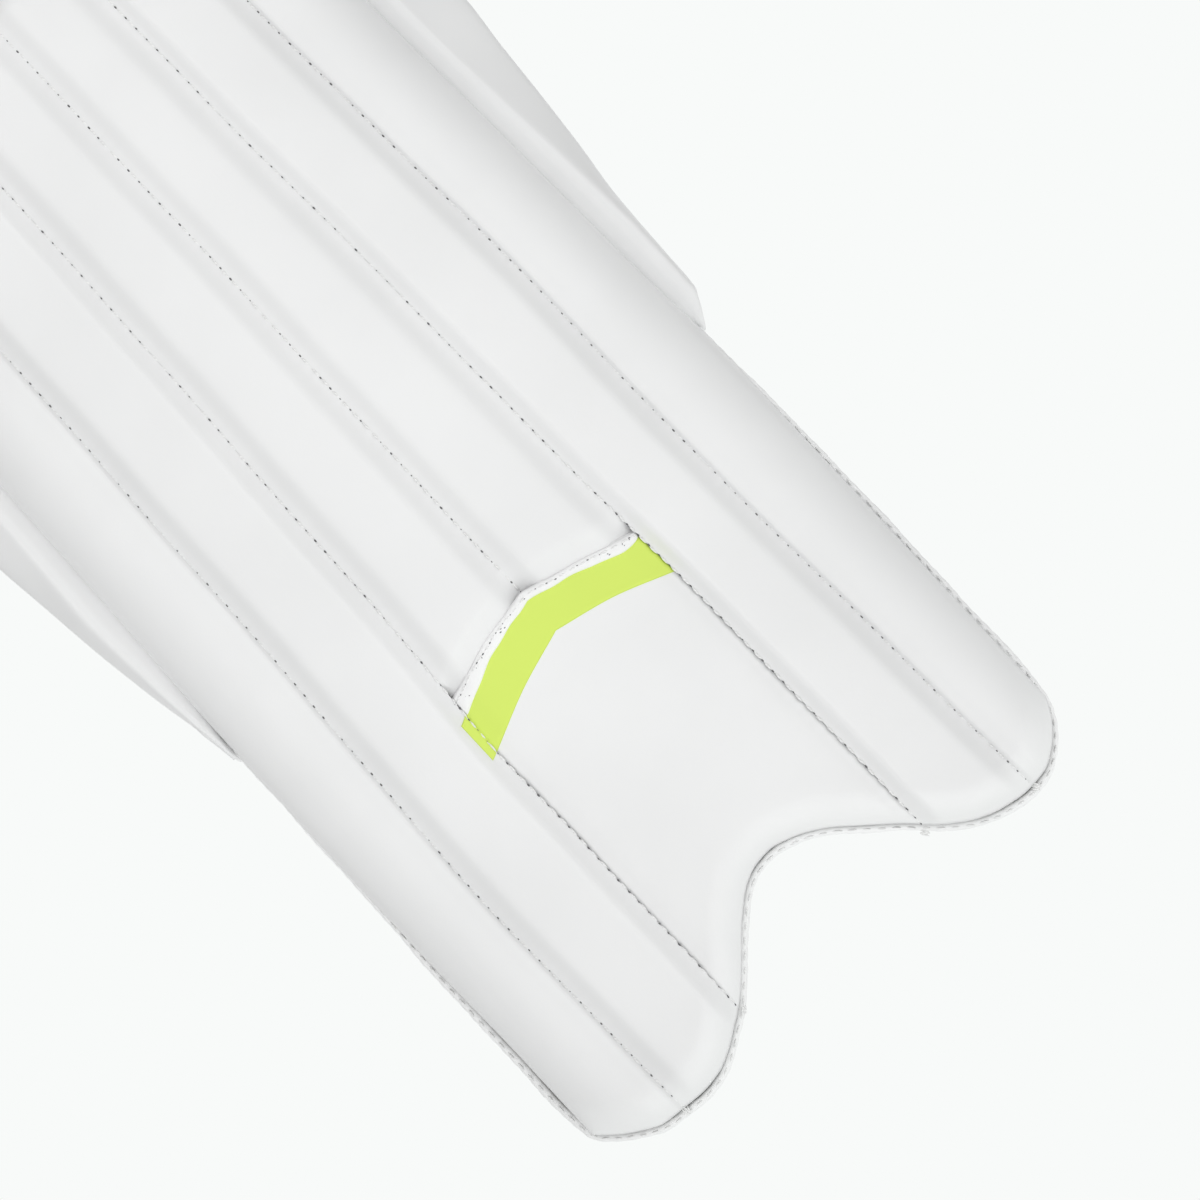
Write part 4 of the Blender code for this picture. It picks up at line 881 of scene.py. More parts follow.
def crease_level(k, z):
    """Bottom of the crease on a sewn line."""
    x = seamline(k, z)
    left = channel_height(k - 1, x - 0.02, z)
    if k in (2, 4):
        inner = np.where(z < instep_top(x), panel_height(x + (0.02 if k == 2 else -0.02), z), channel_height(2 if k == 2 else 3, x + (0.02 if k == 2 else -0.02), z))
        outer = channel_height(1 if k == 2 else 4, x + (-0.02 if k == 2 else 0.02), z)
        return np.maximum(inner, outer)
    return np.maximum(left, channel_height(k, x + 0.02, z))


def sew_seams():
    ends = {1: 3.6, 2: 17.5, 3: 164.4, 4: 19.5, 5: 4.4}
    for k in (1, 2, 3, 4, 5):
        z = np.arange(ends[k], 425.0, 1.2)
        x = seamline(k, z)
        n = crease_level(k, z)
        rng = np.random.RandomState(40 + k)
        out = radial(x, n, z)
        pts = at(x, n, z)
        stitches("shin", pts, out, pitch=4.85, long=3.3, radius=0.36, lift=0.05, seed=40 + k, name="stitching_shin_face", sink=0.05, hole_radius=0.40)
    # the turned edge: a row of stitches under the channels' ends and stray needle marks, whose dark discs are painted
    # shade
    x = np.linspace(-40.5, 41.5, 90)
    z = instep_top(x) - 0.6 + 0.25 * np.sin(x / 2.7)
    n = panel_height(x, instep_top(x) - 3.0) + 1.05
    stitches("shin", at(x, n, z), radial(x, n, z), pitch=3.9, long=2.7, radius=0.33, lift=0.02, seed=51, name="stitching_shin_face", hole_radius=0.34, sink=0.05)
    rng = np.random.RandomState(52)
    store = THREADS["stitching_shin_face"]
    for i in range(34):
        x = rng.uniform(-40, 41)
        lo, hi = float(cornered(STRIPE_TOP, np.array(x))) + 0.5, float(instep_top(np.array(x))) - 0.9
        if hi - lo < 0.6:
            continue
        z = rng.uniform(lo, hi)
        n = float(panel_height(np.array(x), np.array(float(instep_top(np.array(x))) - 3.0))) + 0.95
        u = radial(np.array(x), np.array(n), np.array(z))
        store["hole"].append((at(np.array(x), np.array(n), np.array(z)), np.array([1.0, 0, 0]), u, rng.uniform(0.16, 0.30)))


sew_seams()


# ------------------------------------------------------------------ edge binding
def edge_path(step_mm=0.9):
    """The pad's sewn edge from the top left, down, along the lobes and the scallop, and up to the top right."""
    x, z = [], []
    for h in np.arange(426.0, 30.0, -step_mm):
        x.append(float(through(LEFT_REAR, h)) + 1.65); z.append(h)
    # the outline runs from its left corner to its right corner
    q = np.linspace(-106.6, 104.4, 900)
    inset = 1.65
    g = (outline(q + 0.3) - outline(q - 0.3)) / 0.6
    cos = 1 / np.sqrt(1 + g * g)
    ox, oz = q - g * cos * inset, outline(q) + cos * inset
    keep = (ox > -106.2) & (ox < 103.9)
    x += list(ox[keep]); z += list(oz[keep])
    for h in np.arange(30.0, 426.5, step_mm):
        x.append(float(through(RIGHT_REAR, h)) - 1.65); z.append(h)
    x, z = np.array(x), np.array(z)
    for _ in range(12):                                     # ease the two corners
        x[1:-1] = 0.25 * x[:-2] + 0.5 * x[1:-1] + 0.25 * x[2:]
        z[1:-1] = 0.25 * z[:-2] + 0.5 * z[1:-1] + 0.25 * z[2:]
    run = np.concatenate([[0], np.cumsum(np.hypot(np.diff(x), np.diff(z)))])
    even = np.arange(0, run[-1], step_mm)
    return np.interp(even, run, x), np.interp(even, run, z), even


def bound_edge(name, x, z, run, n_mid, half_in, half_deep, body, mat, nodes=(), wave=0.10, stitch=True, seed=9, flip=1.0, holes=True):
    """A folded tape over an edge: a rounded section drawn in at each stitch, with its own slight wander."""
    path = at(x, n_mid, z)
    up = radial(x, n_mid, z)
    tangent = unit(np.gradient(path, axis=0))
    side = unit(np.cross(tangent, up))
    sides = 14
    a = np.arange(sides) * 2 * math.pi / sides
    ca, sa = np.sign(np.cos(a)) * np.abs(np.cos(a)) ** 0.7, np.sign(np.sin(a)) * np.abs(np.sin(a)) ** 0.6
    gather = 1 + wave * (np.cos(2 * math.pi * run / 4.85) * 0.5 + 0.5 * np.sin(run / 3.1) * np.sin(run / 11.0))
    wander = 0.22 * np.sin(run / 6.1) * np.sin(run / 19.0)
    ring = (path[:, None] + side[:, None] * ((ca[None] * half_in * gather[:, None] + wander[:, None]) * MM)[..., None]
            + up[:, None] * ((sa[None] * half_deep * gather[:, None] ** 0.5) * MM)[..., None])
    faces = [tuple(f) for f in quads(len(path), sides, wrap=True)]
    faces.append(tuple(range(sides))[::-1])
    faces.append(tuple(range((len(path) - 1) * sides, len(path) * sides)))
    obj = new_object(name, ring.reshape(-1, 3), faces, mat)
    outward(obj)
    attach(obj, body)
    if nodes:
        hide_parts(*nodes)
    if stitch:
        for face, label in ((1, ""), (-1, "_rear")):
            pts = path + up * (face * half_deep * MM) + side * (flip * 0.35 * half_in * MM)
            stitches(body, pts, up * face, pitch=4.85, long=3.2, radius=0.34, lift=0.05, seed=seed, name="stitching_" + name, hole=False)
    return obj


ex, ez, erun = edge_path()
bound_edge("edge_binding", ex, ez, erun, 0.55, 1.65, 3.05, "shin", WHITE_EDGE, nodes=["lower_binding"])


def tack(body, centre_xnz, direction, count=4, name=None):
    """A few stitches one over the other where a sewn line ends at the edge."""
    x, n, z = centre_xnz
    store = THREADS.setdefault(name, {"body": body, "thread": [], "hole": []})
    u = radial(np.array(x), np.array(n), np.array(z))
    t = unit(np.array([direction[0], 0.0, direction[1]]))
    side = np.cross(t, u)
    for i in range(count):
        store["thread"].append((at(np.array(x), np.array(n), np.array(z)) + side * ((i - (count - 1) / 2) * 0.55 * MM), unit(t + side * 0.1 * (-1) ** i), u, 3.2, 0.34))


tack("shin", (80.6, 4.6, 2.4), (0.55, -0.83), name="stitching_edge_binding")
tack("shin", (-76.0, 4.4, 2.6), (-0.2, -0.98), name="stitching_edge_binding")
tack("shin", (43.5, 4.6, 16.2), (0.6, -0.8), count=3, name="stitching_edge_binding")
tack("shin", (-39.5, 4.6, 14.2), (-0.6, -0.8), count=3, name="stitching_edge_binding")


# ------------------------------------------------------------------ wings
WING_OUTER = ((-2.6, -10.6), (1.2, -12.2), (5.2, -12.6), (8.8, -9.8), (1.0, 3.0), (1.0, 17.0), (1.0, 32.0), (0.97, 48.0), (0.72, 61.0), (0.22, 72.0))


def wing_section(side, z):
    """Outer and inner lines of the wing at height z, as plan points in mm."""
    z = float(z)
    edge = float(through(LEFT_REAR if side < 0 else RIGHT_REAR, z)) * side
    base = at(side * edge, 0.0, z) / MM
    out = float(through(RIGHT_WING_OUT if side > 0 else LEFT_WING_OUT, z))
    ridge = min(1.0, out / (10.0 if side > 0 else 13.0))
    long = float(through([(186, 0.06), (195, 0.32), (210, 0.6), (240, 0.82), (290, 1.0), (395, 1.0), (414, 0.93), (WING_TOP, 0.74)], z))
    outer, inner = [], []
    for i, (d, e) in enumerate(WING_OUTER):
        if i < 4:
            d, e = d * mix(0.12, 1.0, ridge), e * mix(0.4, 1.0, ridge) + 0.6
        else:
            d, e = max(out, 0.5) * d, e * long + 3.2
        outer.append((d + 0.3, e))
    thick = 9.0 * mix(0.25, 1.0, ridge)
    for i, (d, e) in enumerate(outer):
        a, b = outer[max(i - 1, 0)], outer[min(i + 1, len(outer) - 1)]
        tx, ty = b[0] - a[0], b[1] - a[1]
        size = math.hypot(tx, ty) or 1.0
        t = thick * {0: 0.35, 1: 0.7, 8: 0.85, 9: 0.45}.get(i, 1.0)
        inner.append((d - ty / size * t, e + tx / size * t))
    for i in (0, 1, 2, 3):
        inner[i] = (mix(outer[0][0], inner[4][0], i / 4.0), mix(outer[0][1] + 2.5, inner[4][1], i / 4.0))
    plan = [[np.array([base[0] + side * p[0], base[1] + p[1]]) for p in line] for line in (outer, inner)]
    return np.array(plan[0]), np.array(plan[1])


def spline(points, per, closed=False):
    """A smooth line through plan points, per points to each span."""
    p = np.asarray(points, float)
    if closed:
        q = np.concatenate([p[-1:], p, p[:2]])
        spans = len(p)
    else:
        q = np.concatenate([2 * p[:1] - p[1:2], p, 2 * p[-1:] - p[-2:-1]])
        spans = len(p) - 1
    t = (np.arange(per) / per)[:, None]
    out = []
    for i in range(1, spans + 1):
        a, b, c, d = q[i - 1], q[i], q[i + 1], q[i + 2]
        out.append(0.5 * (2 * b + (c - a) * t + (2 * a - 5 * b + 4 * c - d) * t * t + (3 * b - a - 3 * c + d) * t ** 3))
    out = np.concatenate(out)
    return out if closed else np.concatenate([out, p[-1:]])


def wing_lines(side, z, per=7):
    """Smooth outer and inner lines, both from the fold to the rear edge, with as many points each."""
    outer, inner = wing_section(side, z)
    return spline(outer, per), spline(inner, per)


WING_SPAN = (186.5, 426.2)


def wing_cover(side, name):
    zs = np.concatenate([np.linspace(WING_SPAN[0], 200, 22), np.linspace(201.8, 415, 120), np.linspace(416.2, WING_SPAN[1], 18)])
    rings, tips, tops = [], [], []
    for z in zs:
        outer, inner = wing_lines(side, z)
        middle = (outer + inner) / 2
        end = float(round_end(min(z - WING_SPAN[0], WING_SPAN[1] - z) + 0.12, 8.0))
        count = len(outer)
        i = np.arange(count) / (count - 1)
        # a stuffed section: full in the middle, drawn in beside the rear edge and at the fold
        q = 1 - 0.34 * np.exp(-((i - 0.93) / 0.030) ** 2) - 0.10 * np.exp(-((i - 0.0) / 0.05) ** 2)
        swell = 1.0 + 0.05 * np.sin(math.pi * i)
        o = middle + (outer - middle) * (end * q * swell)[:, None]
        n = middle + (inner - middle) * (end * q * swell)[:, None]
        along = unit(o[-1] - o[-4])
        tip = middle[-1] + along * 1.4 * end
        r1 = o[-1] + along * 0.9 * end
        r2 = n[-1] + along * 0.9 * end
        ring = np.concatenate([o, [r1, tip, r2], n[::-1]])
        wave = 0.14 * ripple(np.stack([np.arange(len(ring)) * 1.7, np.full(len(ring), z)], -1), 46.0, seed=8.0 + side)
        normal = np.stack([-(np.roll(ring, -1, 0) - np.roll(ring, 1, 0))[:, 1], (np.roll(ring, -1, 0) - np.roll(ring, 1, 0))[:, 0]], -1)
        ring = ring + unit(normal) * (wave * end)[:, None]
        rings.append(np.concatenate([ring, np.full((len(ring), 1), z)], -1))
        tips.append([*tip, z])
    pts = np.array(rings) * MM
    rows, cols = pts.shape[:2]
    faces = [tuple(f) for f in quads(rows, cols, wrap=True)]
    faces.append(tuple(range(cols))[::-1])
    faces.append(tuple(range((rows - 1) * cols, rows * cols)))
    # the leg side is lined with soft cloth
    half = cols // 2
    index = [1 if (f[0] % cols) > half + 5 and (f[0] % cols) < cols - 4 else 0 for f in faces[:-2]] + [0, 0]
    obj = new_object(name + "_quilted", pts.reshape(-1, 3), faces, mats=[WHITE, LINING_WING], index=index)
    outward(obj)
    body = name
    # the pad's rear edge at 300 mm up
    hem = at(side * float(through(LEFT_REAR if side < 0 else RIGHT_REAR, 300.0)) * side, 0.0, 300.0)
    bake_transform(obj)
    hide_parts(name + "_cover", name + "_foam")
    # piping round the free edge
    line = [np.array(t) * MM for t in tips[6:-10]]
    outer, inner = wing_lines(side, WING_SPAN[1] - 0.8)
    middle = (outer + inner) / 2
    z_top = WING_SPAN[1] - 0.8
    arc_pts = []
    for k, t in enumerate(tips[-10:-2]):
        arc_pts.append(np.array(t) * MM)
    for p in middle[::-1][2:-4:3]:
        arc_pts.append(np.array([p[0], p[1], z_top]) * MM)
    path = np.array(line + arc_pts)
    for _ in range(6):
        path[1:-1] = 0.25 * path[:-2] + 0.5 * path[1:-1] + 0.25 * path[2:]
    path = even_path(path, 1.4)
    pipe = tube(name + "_piping", path, 1.15 + 0.06 * np.sin(np.arange(len(path)) * 2.1), WHITE_EDGE, sides=10, up=(0.0, 0.0, 1.0) if False else (side * 1.0, 0.0, 0.0))
    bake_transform(pipe)
    # a sewn line just inside the free edge, on both faces
    for which in (0, 1):
        pts, outs = [], []
        for z in np.arange(199.0, 419.0, 1.5):
            outer, inner = wing_lines(side, z)
            middle = (outer + inner) / 2
            i = int(round(0.93 * (len(outer) - 1)))
            line_ = outer if which == 0 else inner
            p = middle[i] + (line_[i] - middle[i]) * 0.66
            o = unit(line_[i] - middle[i])
            pts.append([p[0], p[1], z]); outs.append([o[0], o[1], 0.0])
        stitches(body, np.array(pts) * MM, np.array(outs), pitch=4.6, long=3.2, radius=0.36, lift=0.12, seed=61 + which, name="stitching_" + name, hole_radius=0.36)
    return obj


wing_cover(-1, "left_wing")
wing_cover(1, "right_wing")


def wing_gusset(side, name):
    """The strip of coated cloth sewn into the pad's edge that carries the wing."""
    zs = np.concatenate([np.linspace(188.5, 200, 12), np.linspace(202, 412, 110), np.linspace(413.5, 425.0, 10)])
    profile = np.array([(-2.2, 0.9), (-0.4, 1.2), (1.2, 1.0), (2.6, 0.3), (4.0, -0.9), (5.4, -2.4)])
    fine = spline(profile, 5)
    front, back = [], []
    for z in zs:
        edge = float(through(LEFT_REAR if side < 0 else RIGHT_REAR, z)) * side
        base = at(side * edge, 0.0, z) / MM
        out = float(through(RIGHT_WING_OUT if side > 0 else LEFT_WING_OUT, z))
        wide = 0.45 + 0.55 * min(1.0, out / 10.0)
        low = float(np.clip((z - 188.5) / 12.0, 0, 1))
        line = fine * np.array([mix(0.45, 1.0, low) * wide, mix(0.3, 1.0, low)])
        d = unit(np.gradient(line, axis=0))
        normal = np.stack([d[:, 1], -d[:, 0]], -1)
        wob = 0.18 * math.sin(z / 7.0) * math.sin(z / 19.0)
        f, b = line + normal * (0.7 + wob), line - normal * 0.7
        front.append(np.stack([base[0] + side * f[:, 0], base[1] + f[:, 1], np.full(len(f), z)], -1))
        back.append(np.stack([base[0] + side * b[:, 0], base[1] + b[:, 1], np.full(len(b), z)], -1))
    front, back = np.array(front) * MM, np.array(back) * MM
    a, b = front[60, 0], front[60, -1]
    if side < 0:
        front, back = front[:, ::-1], back[:, ::-1]
    obj = shell(name + "_gusset", front, back, WHITE, LINING_SOFT)
    outward(obj)
    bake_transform(obj)


wing_gusset(-1, "left_wing")
wing_gusset(1, "right_wing")


# ------------------------------------------------------------------ knee rolls
def swell(obj, pressure, frames, cap):
    """Fills a closed skin with air for a moment, so that its cloth stretches and gathers, and then keeps that shape."""
    mesh = obj.data
    before = np.empty(len(mesh.vertices) * 3)
    mesh.vertices.foreach_get("co", before)
    before = before.reshape(-1, 3)
    mod = obj.modifiers.new("cloth", "CLOTH")
    s = mod.settings
    s.quality = 5
    s.mass = 0.25
    s.tension_stiffness = s.compression_stiffness = 12.0
    s.shear_stiffness = 6.0
    s.bending_stiffness = 0.6
    s.use_pressure = True
    s.uniform_pressure_force = pressure
    s.effector_weights.gravity = 0.0
    mod.collision_settings.use_collision = False
    mod.collision_settings.use_self_collision = False
    scn = bpy.context.scene
    scn.frame_start, scn.frame_end = 1, frames
    mod.point_cache.frame_start, mod.point_cache.frame_end = 1, frames
    for f in range(1, frames + 1):
        scn.frame_set(f)
    dg = bpy.context.evaluated_depsgraph_get()
    made = obj.evaluated_get(dg).to_mesh()
    after = np.empty(len(made.vertices) * 3)
    made.vertices.foreach_get("co", after)
    after = after.reshape(-1, 3)
    obj.evaluated_get(dg).to_mesh_clear()
    obj.modifiers.remove(mod)
    scn.frame_set(1)
    if after.shape != before.shape:
        return
    move = after - before
    move -= move.mean(0)
    size = np.linalg.norm(move, axis=1, keepdims=True)
    move *= np.minimum(1.0, cap * MM / np.maximum(size, 1e-9))
    mesh.vertices.foreach_set("co", (before + move).ravel())
    mesh.update()


ROLL_DEEP = 37.0


def roll_shape(s, q, low, high, half):
    """The stuffed roll: s from end to end, q round the front from its lower sewn edge to its upper one."""
    middle, tall = (low + high) / 2, (high - low) / 2
    s, q = np.broadcast_arrays(np.asarray(s, float), np.asarray(q, float))
    ends = np.sqrt(np.maximum(0.0, 1 - np.abs(s) ** 7))
    deep = mix(3.4, ROLL_DEEP, ends)
    a = q * math.pi / 2
    z = middle + tall * np.sign(a) * np.abs(np.sin(a)) ** 0.85 * mix(0.88, 1.0, ends)
    n = 1.0 + (deep - 1.0) * np.maximum(np.cos(a), 0) ** 0.62
    # cloth drawn into the sewn ends: gathers that fade towards the middle
    near_end = np.exp(-(1 - np.abs(s)) * half / 15.0)
    near_seam = np.exp(-(1 - np.abs(q)) / 0.16)
    gather = near_end * np.cos(a * 15.0 + 1.7 * np.sin(s * 3)) * 0.55 * np.cos(a) + near_seam * np.cos(s * half * 2 * math.pi / 9.0 + 2.0 * np.sin(s * 9)) * 0.30
    p = np.stack([s * half, q * tall * 1.4], -1)
    n = n - 0.6 + gather * (1 - np.abs(q) ** 8) + 0.35 * ripple(p, 55.0, seed=high) * np.cos(a) + 0.10 * ripple(p, 16.0, seed=low) * np.cos(a)
    return np.stack([half * s, n, z], -1)


def knee_roll(name, span, half, body):
    low, high = span[0] + 0.9, span[1] - 0.9
    s = np.sin(np.linspace(-1, 1, 132) * math.pi / 2) * 0.5 + np.linspace(-1, 1, 132) * 0.5
    q = np.linspace(-1, 1, 60)
    p = roll_shape(s[None, :], q[:, None], low, high, half - 1.6)
    front = at(p[..., 0], p[..., 1], p[..., 2])
    # flat behind
    rear_z = mix(low, high, (q[:, None] + 1) / 2) + 0 * s[None, :]
    rear_z = p[..., 2]
    rear = at(p[..., 0], 0.75 + 0 * rear_z, rear_z)
    obj = shell(name + "_stuffed", front, rear, WHITE)
    outward(obj)
    bpy.context.view_layer.update()
    swell(obj, 2.4, 10, 1.1)
    # what lies against the lining stays flat
    mesh = obj.data
    co = np.empty(len(mesh.vertices) * 3)
    mesh.vertices.foreach_get("co", co)
    co = co.reshape(-1, 3)
    half_count = len(co) // 2
    co[half_count:] = rear.reshape(-1, 3)
    rows, cols = front.shape[:2]
    grid = co[:half_count].reshape(rows, cols, 3)
    orig = front
    hold = np.clip(np.minimum(1 - np.abs(q)[:, None] + 0 * s[None], (1 - np.abs(s))[None] * 4 + 0 * q[:, None]) / 0.12, 0, 1)[..., None]
    grid = orig + (grid - orig) * hold
    co[:half_count] = grid.reshape(-1, 3)
    mesh.vertices.foreach_set("co", co.ravel())
    mesh.update()
    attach(obj, body)
    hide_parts(name + "_cover", name + "_foam", name + "_liner")
    # flat sewn flange along the two long edges
    for tag, z0, sign in (("lower", low, -1), ("upper", high, 1)):
        xs = np.linspace(-(half - 7.0), half - 7.0, 220)
        z = np.full_like(xs, z0 + sign * 0.15)
        run = xs - xs[0]
        bound_edge(name + "_" + tag + "_edge", xs, z, run, 0.4, 0.95, 2.3, body, WHITE_EDGE, wave=0.16, stitch=False)
    for e in (-1, 1):
        zz = np.linspace(low + 3.0, high - 3.0, 50)
        xs = np.full_like(zz, e * (half - 1.4))
        bound_edge(name + ("_left_end" if e < 0 else "_right_end"), xs, zz, zz - zz[0], 0.4, 1.2, 2.6, body, WHITE_EDGE, wave=0.14, stitch=True, seed=70 + e, flip=0.0)
    return obj


for i, (name, body) in enumerate((("lower_knee_roll", "lower_roll"), ("middle_knee_roll", "middle_roll"), ("upper_knee_roll", "upper_roll"))):
    knee_roll(name, ROLL_Z[i], ROLL_WIDE[i], body)


# ------------------------------------------------------------------ cloth across the knee
def bridge(name, z0, z1, half0, half1):
    """The pad's own back across a fold: coated cloth in front, lining behind, spanning between the two sections."""
    rows, cols = 40, 60
    z = np.linspace(z0, z1, rows)[:, None]
    s = np.linspace(-1, 1, cols)[None, :]
    x = mix(half0, half1, (z - z0) / (z1 - z0)) * s
    z = z + 0 * x
    p = np.stack([x, z], -1)
    edge = np.clip((1 - np.abs(s)) / 0.02, 0, 1) ** 0.5
    n1 = 0.55 * edge + 0.12 * ripple(p, 30.0, seed=z0) * edge
    n0 = -2.05 * edge - 0.12 * ripple(p, 26.0, seed=z1) * edge - 0.2
    obj = shell(name, at(x, n1 + 0 * x, z), at(x, n0 + 0 * x, z), WHITE, LINING, WHITE_EDGE)
    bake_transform(obj)
    return obj


MIDS = [(lo + hi) / 2 for lo, hi in ROLL_Z]
bridge("knee_back_lower", 417.0, MIDS[0], 96.0, 103.0)
bridge("knee_back_middle", MIDS[0], MIDS[1], 103.0, 107.0)
bridge("knee_back_upper", MIDS[1], MIDS[2], 107.0, 107.0)
bridge("knee_back_top", MIDS[2], 588.0, 107.0, 105.0)


# ------------------------------------------------------------------ top hat
HAT_SEAM_S = (-0.982, -0.672, -0.336, 0.0, 0.336, 0.672, 0.982)


def hat_half(z):
    return mix(HAT_HALF, HAT_HALF - 5.0, (z - HAT_BOTTOM) / (HAT_TOP - HAT_BOTTOM))


def hat_crest(s):
    return mix(HAT_TOP - 78.0, HAT_TOP, np.maximum(0, 1 - np.abs(s) ** 2.4) ** 0.62)


def hat_height(s, z):
    s, z = np.broadcast_arrays(np.asarray(s, float), np.asarray(z, float))
    half = hat_half(z)
    x = s * half
    k = np.clip(np.searchsorted(HAT_SEAM_S, s, side="right") - 1, 0, 5)
    left, right = np.array(HAT_SEAM_S)[k], np.array(HAT_SEAM_S)[k + 1]
    dl, dr = (s - left) * half, (right - s) * half
    f = np.clip((s - left) / (right - left), 0, 1)
    crown = CROWN - 2.6
    n = crown - 0.3 + 0.4 * (1 - (2 * f - 1) ** 2)
    n = n - np.where(k == 0, 0, dip(dl, 8.0, 2.2)) - np.where(k == 5, 0, dip(dr, 10.0, 2.2))
    n = n + np.where(k == 0, 0, pucker(dl, z, 0.7)) + np.where(k == 5, 0, pucker(dr, z, 2.2))
    side = np.where(k == 0, dl, np.where(k == 5, dr, 99.0))
    q = np.clip(1 - side / 17.0, 0, 1)
    n = 3.3 + (n - 3.3) * (1 - q ** 2.3) ** 0.56
    g = (hat_crest(s + 0.005) - hat_crest(s - 0.005)) / (0.01 * half)
    d = (hat_crest(s) - 2.8 - z) / np.sqrt(1 + g * g)
    n = 3.2 + (n - 3.2) * round_end(d + 0.01, 13.0)
    n = 1.2 + (n - 1.2) * round_end(z - HAT_BOTTOM - 0.2, 9.0)
    p = np.stack([x, z], -1)
    return n + 0.15 * ripple(p, 60.0, seed=12.0) * np.clip(np.minimum(dl, dr) / 8, 0, 1) + 0.045 * ripple(p, 17.0, seed=13.0)


def top_hat():
    s = np.unique(np.concatenate([mix(a, b, crowd(26)) for a, b in zip(HAT_SEAM_S[:-1], HAT_SEAM_S[1:])]))
    s = s[np.concatenate([[True], np.diff(s) > 1e-6])][None, :]
    t = np.linspace(0, 1, 130)
    t = mix(t, 0.5 - 0.5 * np.cos(math.pi * t), 0.85)[:, None]
    z = mix(HAT_BOTTOM + 0.5, hat_crest(s) - 2.8, t)
    x = hat_half(z) * s
    n = hat_height(s, z)
    # painted shade on the slopes that run down into the hat's seams
    near = step((12.0 - np.min([np.abs(s - q) for q in HAT_SEAM_S[1:-1]], axis=0) * hat_half(z)) / 3.0)
    obj = skin("top_hat_face", at(x, n, z), 1.2, WHITE, painted_shade=painted_slope_shade(x, n) * near)
    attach(obj, "top_hat")
    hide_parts("top_hat_cover", "top_hat_foam_left", "top_hat_foam_centre", "top_hat_foam_right")
    for k in range(1, 6):
        sv = HAT_SEAM_S[k]
        z = np.arange(HAT_BOTTOM + 4, float(hat_crest(np.array(sv))) - 4.0, 1.2)
        n = hat_height(sv + 0.0002, z)
        xx = hat_half(z) * sv
        stitches("top_hat", at(xx, n, z), radial(xx, n, z), pitch=4.85, long=3.3, radius=0.36, lift=0.05, seed=80 + k, name="stitching_top_hat", sink=0.05, hole_radius=0.40)
    # edge: up the left side, round the arch and down the right side
    x, z = [], []
    for h in np.arange(HAT_BOTTOM + 3, 700, 1.0):
        x.append(-float(hat_half(h)) + 1.7); z.append(h)
    for a in np.linspace(math.pi, 0, 900)[1:-1]:
        sv = math.copysign(abs(math.cos(a)) ** 0.85, math.cos(a))
        h = float(hat_crest(np.array(sv)))
        if h > 703:
            x.append(sv * (float(hat_half(h)) - 1.7)); z.append(h - 1.7)
    for h in np.arange(700, HAT_BOTTOM + 3, -1.0):
        x.append(float(hat_half(h)) - 1.7); z.append(h)
    x, z = np.array(x), np.array(z)
    for _ in range(30):
        x[1:-1] = 0.25 * x[:-2] + 0.5 * x[1:-1] + 0.25 * x[2:]
        z[1:-1] = 0.25 * z[:-2] + 0.5 * z[1:-1] + 0.25 * z[2:]
    run = np.concatenate([[0], np.cumsum(np.hypot(np.diff(x), np.diff(z)))])
    even = np.arange(0, run[-1], 0.9)
    bound_edge("top_hat_edge_binding", np.interp(even, run, x), np.interp(even, run, z), even, 0.55, 1.65, 3.05, "top_hat", WHITE_EDGE, nodes=["top_hat_binding"], flip=-1.0)
    # the firm backing under the channels
    s3 = np.linspace(-0.975, 0.975, 70)[None, :]
    t3 = np.linspace(0, 1, 60)[:, None]
    z3 = mix(HAT_BOTTOM + 1.5, hat_crest(s3) - 3.4, t3)
    x3 = hat_half(z3) * s3
    side = (0.975 - np.abs(s3)) * hat_half(z3)
    front = mix(1.6, 9.0, np.clip(np.minimum(np.minimum(side, hat_crest(s3) - 3.4 - z3), z3 - HAT_BOTTOM - 1.5) / 14.0, 0, 1))
    core = shell("top_hat_core", at(x3, front, z3), at(x3, -0.9 + 0 * x3, z3), FOAM)
    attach(core, "top_hat")
    # lining
    s2 = np.linspace(-1, 1, 90)[None, :]
    t2 = np.linspace(0, 1, 80)[:, None]
    z2 = mix(HAT_BOTTOM + 2.0, hat_crest(s2 * 0.985) - 3.0, t2)
    x2 = (hat_half(z2) - 2.4) * s2
    p = np.stack([x2, z2], -1)
    near = np.min([np.abs(s2 - q) for q in HAT_SEAM_S[1:-1]], axis=0) * hat_half(z2)
    back = -2.3 - 0.10 * ripple(p, 35.0, seed=21.0) - 0.25 * np.exp(-((near - 6.0) / 4.0) ** 2) + 0.9 * np.exp(-(near / 2.0) ** 2)
    for k in range(1, 6):
        sv = HAT_SEAM_S[k]
        zz = np.arange(HAT_BOTTOM + 5, float(hat_crest(np.array(sv))) - 6.0, 1.2)
        xx, n = (hat_half(zz) - 2.4) * sv, np.full_like(zz, -1.42)
        stitches("top_hat", at(xx, n, zz), -radial(xx, n, zz), pitch=4.85, long=3.3, radius=0.34, lift=0.08, seed=100 + k, name="stitching_top_hat_rear", hole_radius=0.36)
    obj = shell("top_hat_lining", at(x2, -1.2 + 0 * x2, z2), at(x2, back, z2), LINING)
    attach(obj, "top_hat")
    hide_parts("top_hat_liner")


top_hat()


